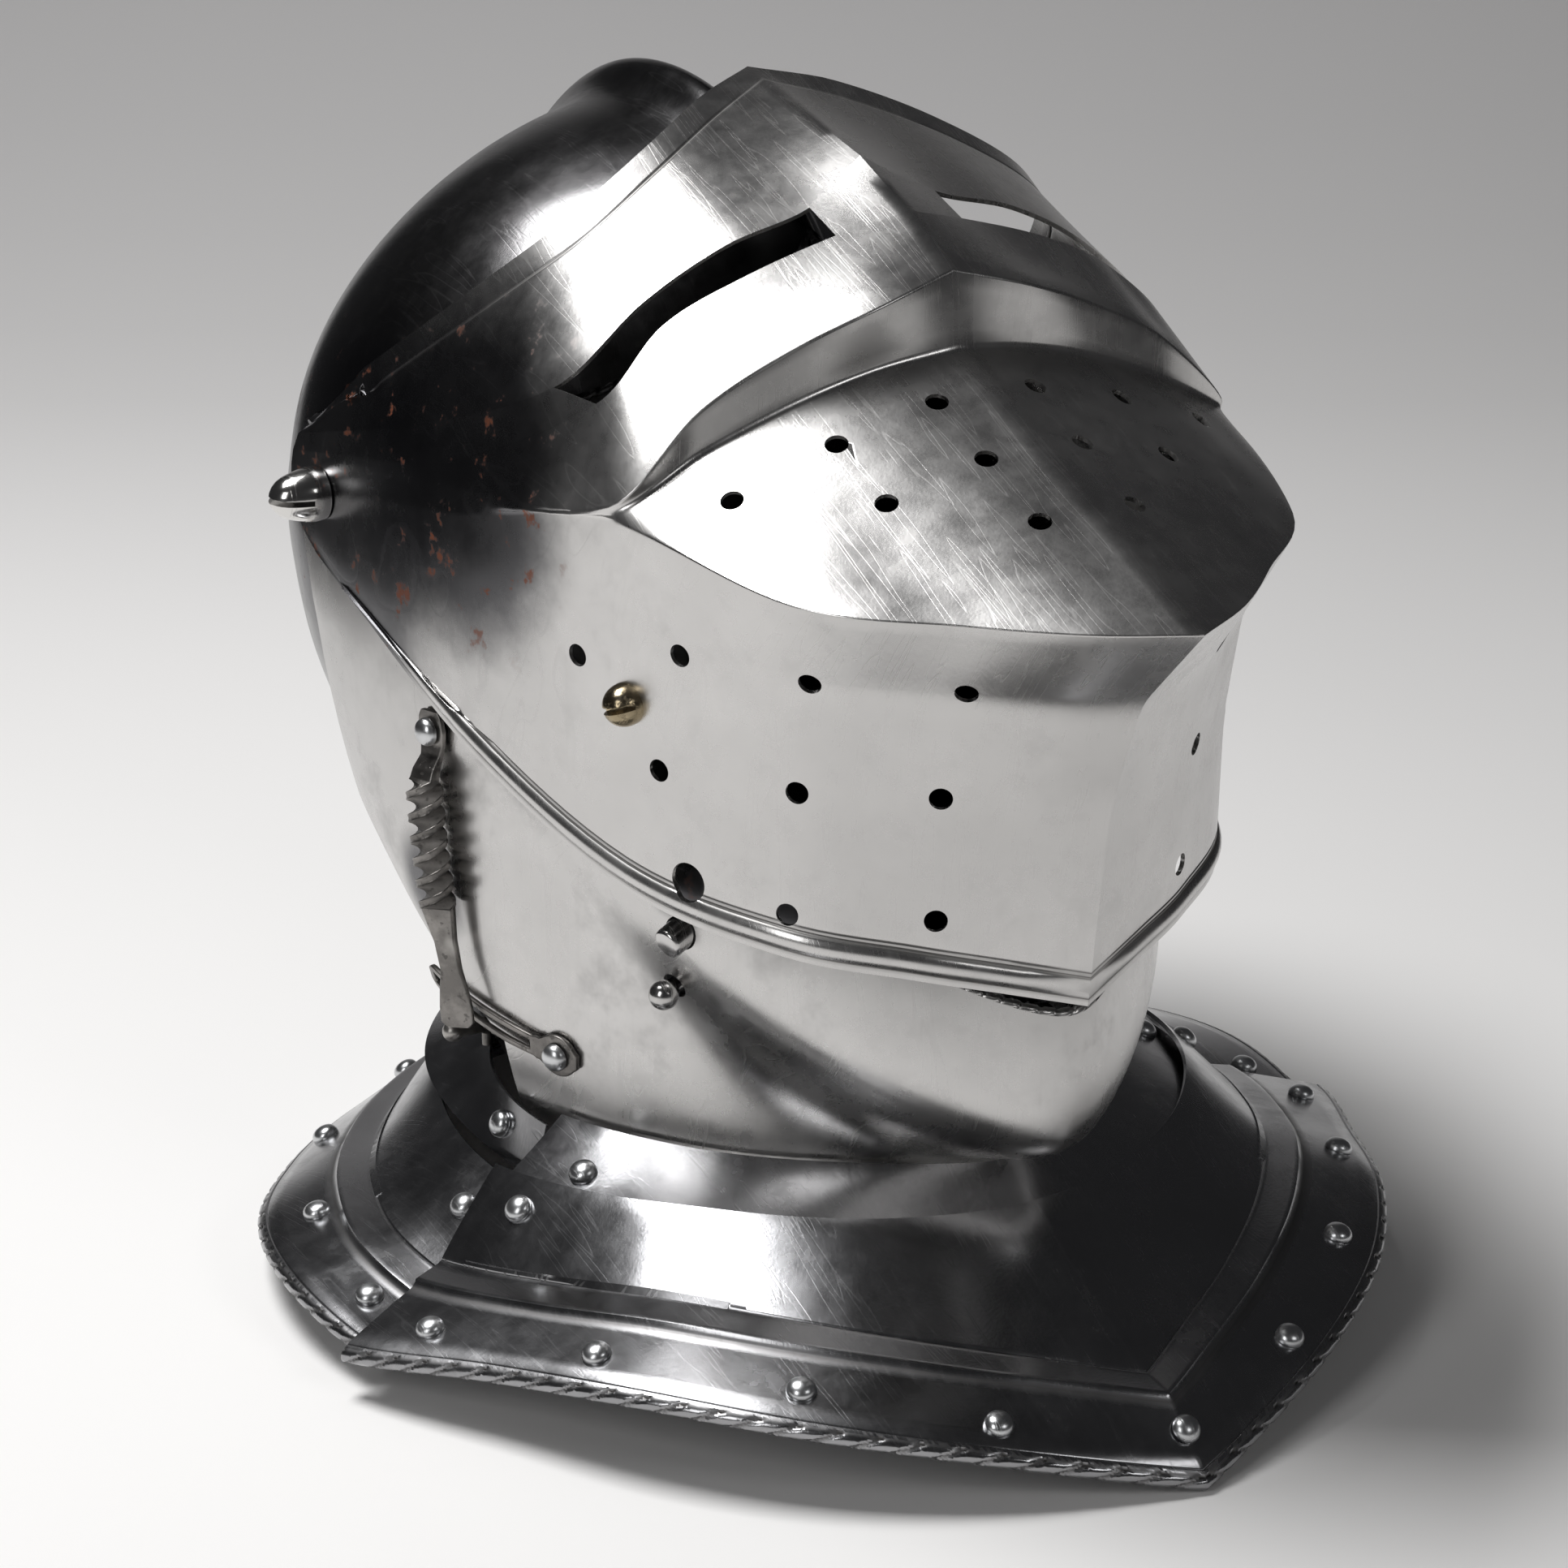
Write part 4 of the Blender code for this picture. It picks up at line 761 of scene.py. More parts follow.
def edge_rows(rows, spots, at_end):
    """Replace the rows nearest one edge by rows at given distances from it."""
    rows = rows if at_end else rows[::-1]
    edge = rows[-1]
    reach = max(spots)
    keep = list(rows)
    while np.linalg.norm(keep[-1] - edge, axis=1).mean() < reach + 0.0015:
        keep.pop()
    base = keep[-1]
    length = np.linalg.norm(base - edge, axis=1, keepdims=True).clip(1e-6)
    for spot in sorted(spots, reverse=True):
        share = np.minimum(spot / length, 0.98)
        keep.append(edge + (base - edge) * share)
    return keep if at_end else keep[::-1]


def bead_lift(distance):
    """Bead and engraved lines above the visor's lower edge; distance in millimetres."""
    lift = 0.0
    if 2.0 < distance < 7.6:
        lift += sizes().bead_height * math.sin(math.pi * (distance - 2.0) / 5.6) ** 0.7
    for line in (8.2, 9.4):
        lift -= sizes().groove_depth * max(0, 1 - abs(distance - line) / 0.35)
    return lift


def near_line(distance, lines, width):
    """1 on the nearest line, 0 farther from it than the width."""
    return max(max(0.0, 1 - abs(distance - line) / width) for line in lines)


class VisorMaker(bpy.types.Operator):
    """Make the visor with its sights, breath holes, band and bead"""
    bl_idname = "helmet.visor"
    bl_label = "Visor"

    def execute(self, context):
        lines = visor_lines()
        rows, slot = filleted_rows(lines)
        count_above = slot[0]
        upper = edge_rows(rows[:count_above + 1], [s * MM for s in BAND_SPOTS], False)
        lower = edge_rows(rows[slot[1]:], [s * MM for s in BEAD_SPOTS], True)
        between = rows[slot[0] + 1:slot[1]]
        slot_first = len(upper) - 1
        slot_last = slot_first + len(between) + 1
        rows = upper + between + lower
        lifts = [0.0] * len(rows)
        shade_and_dirt = [0.0] * len(rows)
        # The bead's edges and the engraved lines of bead and band get grime with painted shade
        for k, spot in enumerate(sorted(BEAD_SPOTS)):
            lifts[-1 - k] = bead_lift(spot)
            shade_and_dirt[-1 - k] = 0.9 * near_line(spot, (2.0, 7.7, 8.2, 9.4), 0.45)
        for k, spot in enumerate(sorted(BAND_SPOTS)):
            lifts[k] = -sizes().groove_depth * near_line(spot, (8.25,), 0.4)
            lifts[k] += 0.9 * MM * max(0, 1 - spot / 8.2)
            shade_and_dirt[k] = 0.8 * near_line(spot, (8.25,), 0.5)
        cheek = sum(VISOR_COLUMN_STEPS[:5])
        columns = np.arange(len(rows[0]))
        fades = np.clip(np.minimum(columns / 5, 1 - (columns - cheek) / 9), 0, 1)
        grid_lifts = np.outer(lifts, fades)
        points = [[place(*point) for point in row] for row in rows]
        flip = -1 if self.turned_in(points) else 1
        shape = grid(points, flip * grid_lifts, shade_and_dirt)
        self.cut_sights(shape, points, slot_first, slot_last)
        both_halves(shape, place(0, GORGET_CENTRE, -0.3 * DROP))
        tree = BVHTree.FromBMesh(shape)
        drills = bmesh.new()
        for hand in BOTH_HANDS:
            for ahead, up in SIDE_BREATHS:
                point, normal = from_side(tree, ahead * REACH / 100, up * DROP / 100, hand)
                drill(drills, point, normal, BREATH_RADIUS, 6 * SHEET)
            for side, ahead in UPPER_BREATHS:
                start = place(hand * side * HALF_WIDTH / 100, ahead * REACH / 100, 2 * CROWN)
                point, normal = hit(tree, start, Vector((0, 0, -1)))
                drill(drills, point, normal, BREATH_RADIUS, 6 * SHEET)
        point, normal = from_side(tree, CATCH_HOLE[0] * REACH / 100, CATCH_HOLE[1] * DROP / 100, -1)
        drill(drills, point, normal, CATCH_HOLE_RADIUS, 8 * SHEET, 32)
        pivot = place(-HALF_WIDTH, 0, 0)
        right = place(-0.095, 0.068, 0.020)
        material = steel("visor_steel", tuple(colours().steel), 0.27, 0.45, 0.6,
                         ((pivot, 0.075), (right, 0.055)), 0.7)
        add_plate("visor_finished", shape, material, "visor",
                  [new_object("breath_drills", drills), pivot_cutter()])
        return {"FINISHED"}

    @staticmethod
    def turned_in(points):
        """Whether the grid's own normals look into the helmet."""
        i = len(points) - 6
        a, b, c = points[i][20], points[i][21], points[i + 1][20]
        normal = (c - a).cross(b - a)
        return normal.dot(a - place(0, GORGET_CENTRE, -0.3 * DROP)) < 0

    @staticmethod
    def cut_sights(shape, points, slot_first, slot_last):
        first = VISOR_COLUMN_STEPS[0]
        last = sum(VISOR_COLUMN_STEPS[:4])
        open_spots = set()
        for i in range(slot_first, slot_last):
            for j in range(first, last):
                middle = (points[i][j] + points[i][j + 1] + points[i + 1][j]
                          + points[i + 1][j + 1]) / 4
                open_spots.add(tuple(round(x * 20000) for x in middle))
        gone = [face for face in shape.faces
                if tuple(round(x * 20000) for x in face.calc_center_median()) in open_spots]
        bmesh.ops.delete(shape, geom=gone, context="FACES")


def edge_spread(distance, reach):
    return math.degrees(math.asin(min(EAR_RADIUS / distance, 1))) * (1 - distance / reach)


def arch_side(distance, width, reach, fullness, flat=0.0):
    share = min(max(distance - flat, 0) / (reach - flat), 1)
    return width * (1 - share ** fullness) ** (1 / fullness)


def skull_ear(angle, share, sector):
    rest = (360 - sector) / 2
    points = []
    for distance in EAR_RINGS:
        spread = rest * math.exp(-max(distance - EAR_FLAT, 0) / EAR_SPREAD)
        heading = math.radians(angle + spread * (2 * share - 1))
        points.append((distance * math.cos(heading), distance * math.sin(heading)))
    return points


def bevor_ear(angle, share, sector):
    first = angle + share * sector
    heading = math.radians(angle + edge_spread(EAR_RING, BEVOR_REACH) * (1 - 2 * share))
    far = math.radians(first + 90 + share * (180 - sector))
    start = np.array((math.cos(heading), math.sin(heading))) * EAR_RING
    end = np.array((math.cos(far), math.sin(far))) * EAR_RADIUS
    return [tuple(start + (end - start) * k / 9) for k in range(1, 10)]


def fan_rows(sections, row_count, width, radius, ridge, ear, edge_rise=0, flat=0.0):
    """Rows of a plate swept about the pivot axis, from the median plane to the ear."""
    first = sections[0][0]
    last = sections[-1][0]
    height, ridge_width = ridge
    turns = [0, 0.8, 1.6, 2.4, 3.3, 4.3, 5.5, 7, 9, 11.5] + list(np.linspace(14, 90, 26))
    shares = np.linspace(0, 1, row_count)
    numbers = np.array([read_table(sections, first + s * (last - first)) for s in shares])
    spread = np.exp(-(np.arange(-12, 13) * abs(last - first) / row_count / 2.2) ** 2)
    padded = np.pad(numbers, ((12, 12), (0, 0)), mode="reflect", reflect_type="odd")
    columns = [np.convolve(column, spread / spread.sum(), mode="valid") for column in padded.T]
    rows = []
    for share, (reach, fullness, ridge_share) in zip(shares, zip(*columns)):
        angle = first + share * (last - first)
        reach *= radius
        ridge_share = min(max(ridge_share, 0), 1)
        points = []
        for turn in turns:
            swing = max(math.cos(math.radians(turn)), 0)
            distance = EAR_RING + (reach - EAR_RING) * swing ** (2 / fullness)
            side = arch_side(distance, width, reach, fullness, flat)
            heading = angle + edge_rise * math.exp(-side / BROW_RISE_WIDTH) * (1 - share) ** 3
            if last < first:
                heading += edge_spread(distance, reach) * (1 - 2 * share)
            raised = distance + height * ridge_share * math.exp(-(side / ridge_width) ** 2)
            heading = math.radians(heading)
            points.append(place(side, raised * math.cos(heading), raised * math.sin(heading)))
        for ahead, up in ear(angle, share, abs(last - first)):
            side = arch_side(math.hypot(ahead, up), width, reach, fullness, flat)
            points.append(place(side, ahead, up))
        rows.append(points)
    return rows


def sunk_edge(rows, count, depth):
    """The first row of a half plate, and its mirror image, moved inwards by a depth."""
    edge = []
    for i in range(count):
        along = rows[0][i + 1] - rows[0][max(i - 1, 0)]
        inward = along.cross(rows[2][i] - rows[0][i])
        if inward.dot(place(0, 0, 0) - rows[0][i]) < 0:
            inward.negate()
        if i == 0:
            inward.x = 0
        edge.append(rows[0][i] + inward.normalized() * depth)
    return [Vector((-p.x, p.y, p.z)) for p in edge[:0:-1]] + edge


def rope(path, radius, pitch, depth):
    """A roped edge: a tube along a path with slanting cuts; both ends closed."""
    points = [Vector(p) for p in path]
    lengths = [0.0]
    for a, b in zip(points, points[1:]):
        lengths.append(lengths[-1] + (b - a).length)
    count = max(int(lengths[-1] / (0.11 * pitch)), 4)
    xs = np.linspace(0, lengths[-1], count)
    fine = [Vector([float(np.interp(x, lengths, [p[k] for p in points])) for k in range(3)])
            for x in xs]
    shape = bmesh.new()
    rings = []
    side = None
    for i, centre in enumerate(fine):
        forward = (fine[min(i + 1, count - 1)] - fine[max(i - 1, 0)]).normalized()
        side = forward.orthogonal() if side is None else side
        side = (side - side.dot(forward) * forward).normalized()
        over = forward.cross(side)
        ring = bmesh.ops.create_circle(shape, segments=14, radius=radius)["verts"]
        for vert in ring:
            turn = math.atan2(vert.co.y, vert.co.x)
            phase = (xs[i] / pitch + turn / (2 * math.pi)) % 1
            cut = math.exp(-((phase - 0.5) / 0.13) ** 2)
            size = radius * (1 - depth * cut)
            vert.co = centre + size * (math.cos(turn) * side + math.sin(turn) * over)
        rings.append(ring)
    for low, high in zip(rings, rings[1:]):
        edges = [edge for ring in (low, high) for vert in ring for edge in vert.link_edges]
        edges = list({edge for edge in edges
                      if edge.verts[0] in low and edge.verts[1] in low
                      or edge.verts[0] in high and edge.verts[1] in high})
        bmesh.ops.bridge_loops(shape, edges=edges)
    bmesh.ops.holes_fill(shape, edges=[e for e in shape.edges if e.is_boundary], sides=0)
    bmesh.ops.recalc_face_normals(shape, faces=shape.faces)
    return shape


def add_shape(thing, shape):
    """Add a closed shape to a finished piece's mesh."""
    part = bpy.data.meshes.new("part")
    shape.to_mesh(part)
    shape.free()
    whole = bmesh.new()
    whole.from_mesh(thing.data)
    whole.from_mesh(part)
    whole.to_mesh(thing.data)
    whole.free()
    bpy.data.meshes.remove(part)
    soften(thing.data)

class SkullMaker(bpy.types.Operator):
    """Make the bowl with its low comb and roped brow edge"""
    bl_idname = "helmet.skull"
    bl_label = "Bowl"

    def execute(self, context):
        width = HALF_WIDTH - 2 * (SHEET + LAYER_GAP)
        rows = fan_rows(SKULL_SECTIONS, 120, width, SKULL_RADIUS - 0.1 * MM, COMB, skull_ear,
                        BROW_RISE, EAR_FLAT)
        shape = grid(rows)
        bmesh.ops.bisect_plane(shape, geom=everything(shape), dist=SAME_PLACE,
                               plane_co=(0, 0, NECK_EDGE), plane_no=(0, 0, -1), clear_outer=True)
        both_halves(shape, place(0, 0, 0))
        pivot = place(-HALF_WIDTH, 0, 0)
        material = steel("bowl_steel", tuple(colours().blackened), 0.2, 0.4, 0.4,
                         ((pivot, 0.06),), 0.4, 0.5)
        thing = add_plate("skull_finished", shape, material, "root",
                          [pivot_cutter()])
        s = sizes()
        path = sunk_edge(rows, 38, s.rope_radius)
        add_shape(thing, rope(path, s.rope_radius, 0.45 * s.notch_pitch, s.notch_depth))
        return {"FINISHED"}


class BevorMaker(bpy.types.Operator):
    """Make the bevor with its keel and roped upper edge"""
    bl_idname = "helmet.bevor"
    bl_label = "Bevor"

    def execute(self, context):
        width = HALF_WIDTH - SHEET - LAYER_GAP
        rows = fan_rows(BEVOR_SECTIONS, 76, width, BEVOR_REACH, KEEL, bevor_ear)
        whole = grid(rows)
        trees["bevor_whole"] = BVHTree.FromBMesh(whole)
        whole.free()
        shape = grid(rows)
        bmesh.ops.bisect_plane(shape, geom=everything(shape), dist=SAME_PLACE,
                               plane_co=(0, 0, NECK_EDGE), plane_no=(0, 0, -1), clear_outer=True)
        self.cut_corner(shape)
        trees["bevor_neck"] = BVHTree.FromBMesh(shape)
        both_halves(shape, place(0, GORGET_CENTRE, -0.3 * DROP))
        drills = bmesh.new()
        outward = -Vector(JOINTS["catch_press"]["axis"]).normalized()
        for node, radius in (("catch_peg", PEG_BORE_RADIUS), ("catch_button", BUTTON_BORE_RADIUS)):
            middle, low, high = along_axis(node, outward)
            drill(drills, middle + (low + high) / 2 * outward, outward, radius, 0.02, 28)
        # Painted shade: dark patches with a few rust spots on the bevor, under the side bar and
        # where the visor's lower edge overhangs the roped upper edge
        shade_and_rust_spots = [(place(-0.09, 0.04, -0.10), 0.022)]
        for side, ahead, up in ((57.4, 157.4, -79.7), (74.6, 133.0, -75.1)):
            shade_and_rust_spots.append((place(-side * MM, ahead * MM, up * MM), 0.012))
        material = steel("bevor_steel", tuple(colours().steel), 0.27, 0.45, 0.6,
                         shade_and_rust_spots, 0.2, 0.45)
        thing = add_plate("bevor_finished", shape, material, "bevor",
                          [pivot_cutter(),
                           new_object("catch_drills", drills)])
        s = sizes()
        path = sunk_edge(rows, 30, 0.9 * s.rope_radius)
        add_shape(thing, rope(path, 0.9 * s.rope_radius, 0.45 * s.notch_pitch, s.notch_depth))
        return {"FINISHED"}

    @staticmethod
    def cut_corner(shape):
        high, low = (place(0, a * BEVOR_REACH, u * DROP) for a, u in CORNER_LINE)
        below = (low - high).cross(Vector((1, 0, 0))).normalized()
        if below.z > 0:
            below.negate()
        behind = place(0, CORNER_AHEAD * BEVOR_REACH, 0)
        for point, normal in ((high, below), (behind, Vector((0, 1, 0)))):
            bmesh.ops.bisect_plane(shape, geom=everything(shape), dist=SAME_PLACE,
                                   plane_co=point, plane_no=normal)
        corner = []
        for face in shape.faces:
            middle = face.calc_center_median()
            if (middle - high).dot(below) > 0 and middle.y > behind.y:
                corner.append(face)
        bmesh.ops.delete(shape, geom=corner, context="FACES")


def around_neck(angle, radius, height):
    turn = math.radians(angle)
    return place(radius * math.sin(turn), GORGET_CENTRE + radius * math.cos(turn),
                 height - AXIS_HEIGHT)


def gorget_section(seam, seam_up, rib, rib_up, rim, rim_up, run):
    """The plate's section: wall, engraved line, raised band, step, border and roped roll.

    Gives points of radius and height, a value of grime with painted shade for each, and a lift.
    """
    s = sizes()
    rim_up = max(rim_up, 0.0)
    middle = ((seam + rib) / 2 - RIB_STEP, (seam_up + rib_up) / 2 - RIB_STEP)
    band = (rib - RIB_WIDTH, rib_up + RIB_STEP)
    wall = curve_through(((seam, seam_up), middle, band), (7, 7))
    points = [tuple(p) for p in wall[:-1]]
    shade_and_dirt = [0.0] * len(points)
    lifts = [0.0] * len(points)
    lifts[0] = -0.2 * MM

    def add(point, mark=0.0, lift=0.0):
        points.append(point)
        shade_and_dirt.append(mark)
        lifts.append(lift)

    back = Vector(points[-1]) - Vector(band)
    back.normalize()
    # Grime with painted shade in the engraved lines, at the foot of the step and in the roll's
    # notches
    for away, mark, lift in ((1.6, 0.1, 0), (1.2, 0.9, -1), (0.8, 0.2, 0), (0.3, 0, 0.35)):
        spot = Vector(band) + back * away * MM
        add(tuple(spot), mark, lift * s.groove_depth)
    for share, lift in ((0.06, 0.6), (0.3, 0.75), (0.6, 0.9), (0.85, 1.2), (0.95, 1.3)):
        add((band[0] + share * RIB_WIDTH, band[1] - share * RIB_STEP), 0, lift * s.groove_depth)
    add((rib, rib_up), 0.0, 1.0 * s.groove_depth)
    step = (rib + RIB_STEP, rib_up - RIB_STEP)
    for share, mark in ((0.3, 0.1), (0.7, 0.5), (1.0, 0.8)):
        add((rib + share * RIB_STEP, rib_up - share * RIB_STEP), mark, 0)
    start_turn = math.radians(60)
    roll = (rim + ROLL_RADIUS * (math.cos(start_turn) - 1),
            rim_up + ROLL_RADIUS * (math.sin(start_turn) + 1))
    run_out = Vector(roll) - Vector(step)
    length = run_out.length
    for share in (0.12, 0.3, 0.5, 0.68):
        add(tuple(Vector(step) + share * run_out))
    for away, mark, lift in ((2.2, 0.1, 0), (1.8, 0.9, -1), (1.4, 0.2, 0), (0.5, 0.6, -0.4)):
        spot = Vector(step) + run_out * (1 - away * MM / length)
        add(tuple(spot), mark, lift * s.groove_depth)
    # The roll's notches and the crease where the roll starts get grime with painted shade
    for degrees in (60, 40, 22, 4, -14, -32, -52, -72, -90):
        phase = (run / s.notch_pitch + degrees / 150) % 1
        cut = math.exp(-((phase - 0.5) / 0.10) ** 2) * (1 if degrees > -60 else 0.3)
        size = ROLL_RADIUS * (0.88 - s.notch_depth * cut)
        if degrees == -90:
            size = 0.88 * ROLL_RADIUS
        turn = math.radians(degrees)
        add((rim - ROLL_RADIUS + size * math.cos(turn),
             max(rim_up + ROLL_RADIUS + size * math.sin(turn), rim_up)),
            0.75 * cut + (0.5 if degrees == 60 else 0))
    turn = math.radians(-125)
    add((rim + ROLL_RADIUS * (math.cos(turn) - 1), rim_up))
    turn = math.radians(-170)
    add((rim + ROLL_RADIUS * (math.cos(turn) - 1), rim_up + ROLL_RADIUS * (math.sin(turn) + 1)))
    return points, shade_and_dirt, lifts


def gorget_shape(table, slant, columns):
    units = np.array([GORGET_WIDTH, AXIS_HEIGHT] * 3) / 100
    rows = None
    shade_and_dirt_grid = []
    lift_grid = []
    run = 0.0
    before = None
    for share in np.linspace(0, 1, columns):
        angle = table[0][0] + share * (table[-1][0] - table[0][0])
        numbers = read_table(table, angle) * units
        rim = around_neck(angle, numbers[4], numbers[5])
        run += (rim - before).length if before is not None else 0
        before = rim
        points, shade_and_dirt, lifts = gorget_section(*numbers, run)
        leaning = share if slant < 0 else 1 - share
        span = numbers[4] - numbers[0]
        column = [around_neck(angle + slant * leaning ** 3 * (r - numbers[0]) / span, r, z)
                  for r, z in points]
        rows = [[] for _ in column] if rows is None else rows
        for row, point in zip(rows, column):
            row.append(point)
        shade_and_dirt_grid.append(shade_and_dirt)
        lift_grid.append(lifts)
    flip = -1 if (rows[1][0] - rows[0][0]).cross(rows[0][1] - rows[0][0]).z < 0 else 1
    shape = grid(rows, flip * np.array(lift_grid).T)
    return shape, rows, np.array(shade_and_dirt_grid).T


def paint_shade_and_dirt(shape, rows, shade_and_dirt):
    """Write the values of grime with painted shade on the vertices of the sheet they were worked
    out for.
    """
    layer = shape.verts.layers.float["shade_and_dirt"]
    tree_points = {}
    for row, marks in zip(rows, shade_and_dirt):
        for point, mark in zip(row, marks):
            tree_points[tuple(round(x * 4000) for x in point)] = mark
    for vert in shape.verts:
        key = tuple(round(x * 4000) for x in vert.co)
        vert[layer] = tree_points.get(key, 0.0)


class GorgetMaker(bpy.types.Operator):
    """Make the two gorget plates with raised bands and roped rims"""
    bl_idname = "helmet.gorget"
    bl_label = "Gorget plates"

    def execute(self, context):
        below = place(0, GORGET_CENTRE, -2 * AXIS_HEIGHT)
        for name, table, slant, columns, body in (
                ("front_gorget_plate", FRONT_GORGET, FRONT_EDGE_SLANT, 300, "bevor"),
                ("rear_gorget_plate", REAR_GORGET, REAR_EDGE_SLANT, 300, "root")):
            shape, rows, shade_and_dirt = gorget_shape(table, slant, columns)
            paint_shade_and_dirt(shape, rows, shade_and_dirt)
            both_halves(shape, below)
            material = steel("gorget_steel", tuple(colours().bowl), 0.22, 0.45, 0.6,
                             ((Vector((0.09, -0.02, 0.02)), 0.03),), 0.3, 0.5)
            add_plate(name + "_finished", shape, material, body)
        return {"FINISHED"}


def neck_radius(names, angle, height):
    centre = around_neck(angle, 0, height)
    start = around_neck(angle, 2 * GORGET_WIDTH, height)
    hits = [trees[name].ray_cast(start, centre - start, 2 * GORGET_WIDTH)[0] for name in names]
    return max([(point - centre).length for point in hits if point], default=0)


class CollarMaker(bpy.types.Operator):
    """Make the two collars around the neck"""
    bl_idname = "helmet.collars"
    bl_label = "Collars"

    def execute(self, context):
        for name, table, edge, least, body in (
                ("front_collar", FRONT_COLLAR, FRONT_COLLAR_EDGE, FRONT_COLLAR_LEAST, "bevor"),
                ("rear_collar", REAR_COLLAR, REAR_COLLAR_EDGE, REAR_COLLAR_LEAST, "root")):
            rows = [[] for _ in range(9)]
            for angle in np.linspace(table[0][0], table[-1][0], 80):
                outer, outer_up = read_table(table, angle) * (GORGET_WIDTH / 100,
                                                              AXIS_HEIGHT / 100)
                inner = neck_radius(("bevor_neck", "skull_finished"), angle, edge) + NECK_GAP
                inner = max(inner, least)
                for k, row in enumerate(rows):
                    share = k / 8
                    dip = 0.0004 * math.sin(math.pi * share)
                    row.append(around_neck(angle, inner + share * (outer - inner),
                                           edge + share * (outer_up - edge) - dip))
            shape = grid(rows)
            both_halves(shape, place(0, GORGET_CENTRE, -2 * AXIS_HEIGHT))
            material = steel("collar_steel", tuple(colours().bowl), 0.2, 0.5, 0.5, (), 0, 0.5)
            add_plate(name + "_finished", shape, material, body)
        return {"FINISHED"}


def add_rivet(node, plate, body, material):
    """A domed head where the solid one is, standing on the finished plate."""
    low, high = (Vector(corner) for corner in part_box(node))
    middle = (low + high) / 2
    point, normal, _, _ = trees[plate].find_nearest(middle)
    if normal.dot(middle - point) < 0:
        normal = -normal
    s = sizes()
    profile = arc(s.rivet_radius, s.rivet_height, 0.0002, 10, 0.85)
    profile += [(0.97 * s.rivet_radius, -0.0001), (0, -0.0001)]
    return add_turned(node + "_finished", profile, standing(point, normal), material, body, node)


def rivet_material():
    return steel("rivet_steel", (0.66, 0.67, 0.68), 0.3, 0.25, 0.3, (), 0, 0.6, 0.8, False)

class RivetMaker(bpy.types.Operator):
    """Make the domed rivets of gorget and collars"""
    bl_idname = "helmet.rivets"
    bl_label = "Rivets"

    def execute(self, context):
        material = rivet_material()
        for node in sorted(frame["nodes"]):
            if "border" in node or "seam" in node or "collar_rivet" in node:
                front = "front" in node
                kind = "collar" if "collar" in node else "gorget_plate"
                plate = ("front_" if front else "rear_") + kind + "_finished"
                add_rivet(node, plate, "bevor" if front else "root", material)
        return {"FINISHED"}


class PivotMaker(bpy.types.Operator):
    """Make the two pivot screws with their slotted bullet heads"""
    bl_idname = "helmet.pivots"
    bl_label = "Pivot screws"

    def execute(self, context):
        material = steel("screw_steel", (0.70, 0.69, 0.67), 0.14, 0.2, 0.3, (), 0, 0.5, 0.8,
                         False)
        seat = 0.0004
        inner = -(3 * SHEET + 2 * LAYER_GAP) - seat
        head = [(PIVOT_HEAD_RADIUS * r, seat + PIVOT_HEAD_LENGTH * z) for r, z in
                ((0, 1), (0.18, 0.99), (0.34, 0.95), (0.5, 0.89), (0.66, 0.8), (0.78, 0.68),
                 (0.88, 0.52), (0.96, 0.36), (1, 0.2), (0.99, 0.1), (0.96, 0))]
        head += [(0.003, seat), (0.003, inner), (0.006, inner), (0.006, inner - 0.0018),
                 (0, inner - 0.0018)]
        for hand, side in zip(BOTH_HANDS, ("right", "left")):
            matrix = standing(place(hand * HALF_WIDTH, 0, 0), Vector((hand, 0, 0)))
            matrix = matrix @ Matrix.Rotation(math.radians(85), 4, "Z")
            node = side + "_pivot_screw"
            add_turned(node + "_finished", head, matrix, material, "root", node, 0.0016, 0.010)
        return {"FINISHED"}


class VisorScrewMaker(bpy.types.Operator):
    """Make the worn brassy screw on the visor's right flank"""
    bl_idname = "helmet.visor_screw"
    bl_label = "Visor screw"

    def execute(self, context):
        low, high = (Vector(corner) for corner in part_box("visor_screw"))
        point, normal, _, _ = trees["visor_finished"].find_nearest((low + high) / 2)
        if normal.x > 0:
            normal = -normal
        profile = arc(0.0056, 0.0064, 0.0002, 12, 0.9) + [(0.0056, -0.0001), (0, -0.0001)]
        matrix = standing(point, normal) @ Matrix.Rotation(math.radians(105), 4, "Z")
        material = forged("brassy_steel", tuple(colours().brassy), 0.22)
        add_turned("visor_screw_finished", profile, matrix, material, "visor", "visor_screw",
                   0.0018, 0.0042)
        return {"FINISHED"}


class CatchMaker(bpy.types.Operator):
    """Make the sprung peg and its button"""
    bl_idname = "helmet.catch"
    bl_label = "Catch"

    def execute(self, context):
        outward = -Vector(JOINTS["catch_press"]["axis"]).normalized()
        material = steel("catch_steel", (0.62, 0.61, 0.6), 0.2, 0.3, 0.4, (), 0, 0.7, 0.9, False)
        middle, low, high = along_axis("catch_peg", outward)
        length = high - low
        peg = [(0, length), (0.0030, length), (0.0036, length - 0.0002), (0.0040, length - 0.0006),
               (PEG_RADIUS, length - 0.0013), (PEG_RADIUS, 0), (0, 0)]
        matrix = standing(middle + low * outward, outward)
        add_turned("catch_peg_finished", peg, matrix, material, "catch", "catch_peg")
        middle, low, high = along_axis("catch_button", outward)
        length = high - low
        top = length - BUTTON_RADIUS
        button = []
        for turn in np.radians(np.linspace(0, 140, 14)):
            button.append((BUTTON_RADIUS * math.sin(turn), top + BUTTON_RADIUS * math.cos(turn)))
        button += [(0.0024, top - 0.0036), (BUTTON_NECK_RADIUS, top - 0.0042),
                   (BUTTON_NECK_RADIUS, 0), (0, 0)]
        matrix = standing(middle + low * outward, outward)
        add_turned("catch_button_finished", button, matrix, material, "catch", "catch_button")
        spring = bpy.data.objects["catch_spring"]
        spring.data.materials.clear()
        spring.data.materials.append(forged("spring_steel", tuple(colours().forged), 0.35))
        return {"FINISHED"}


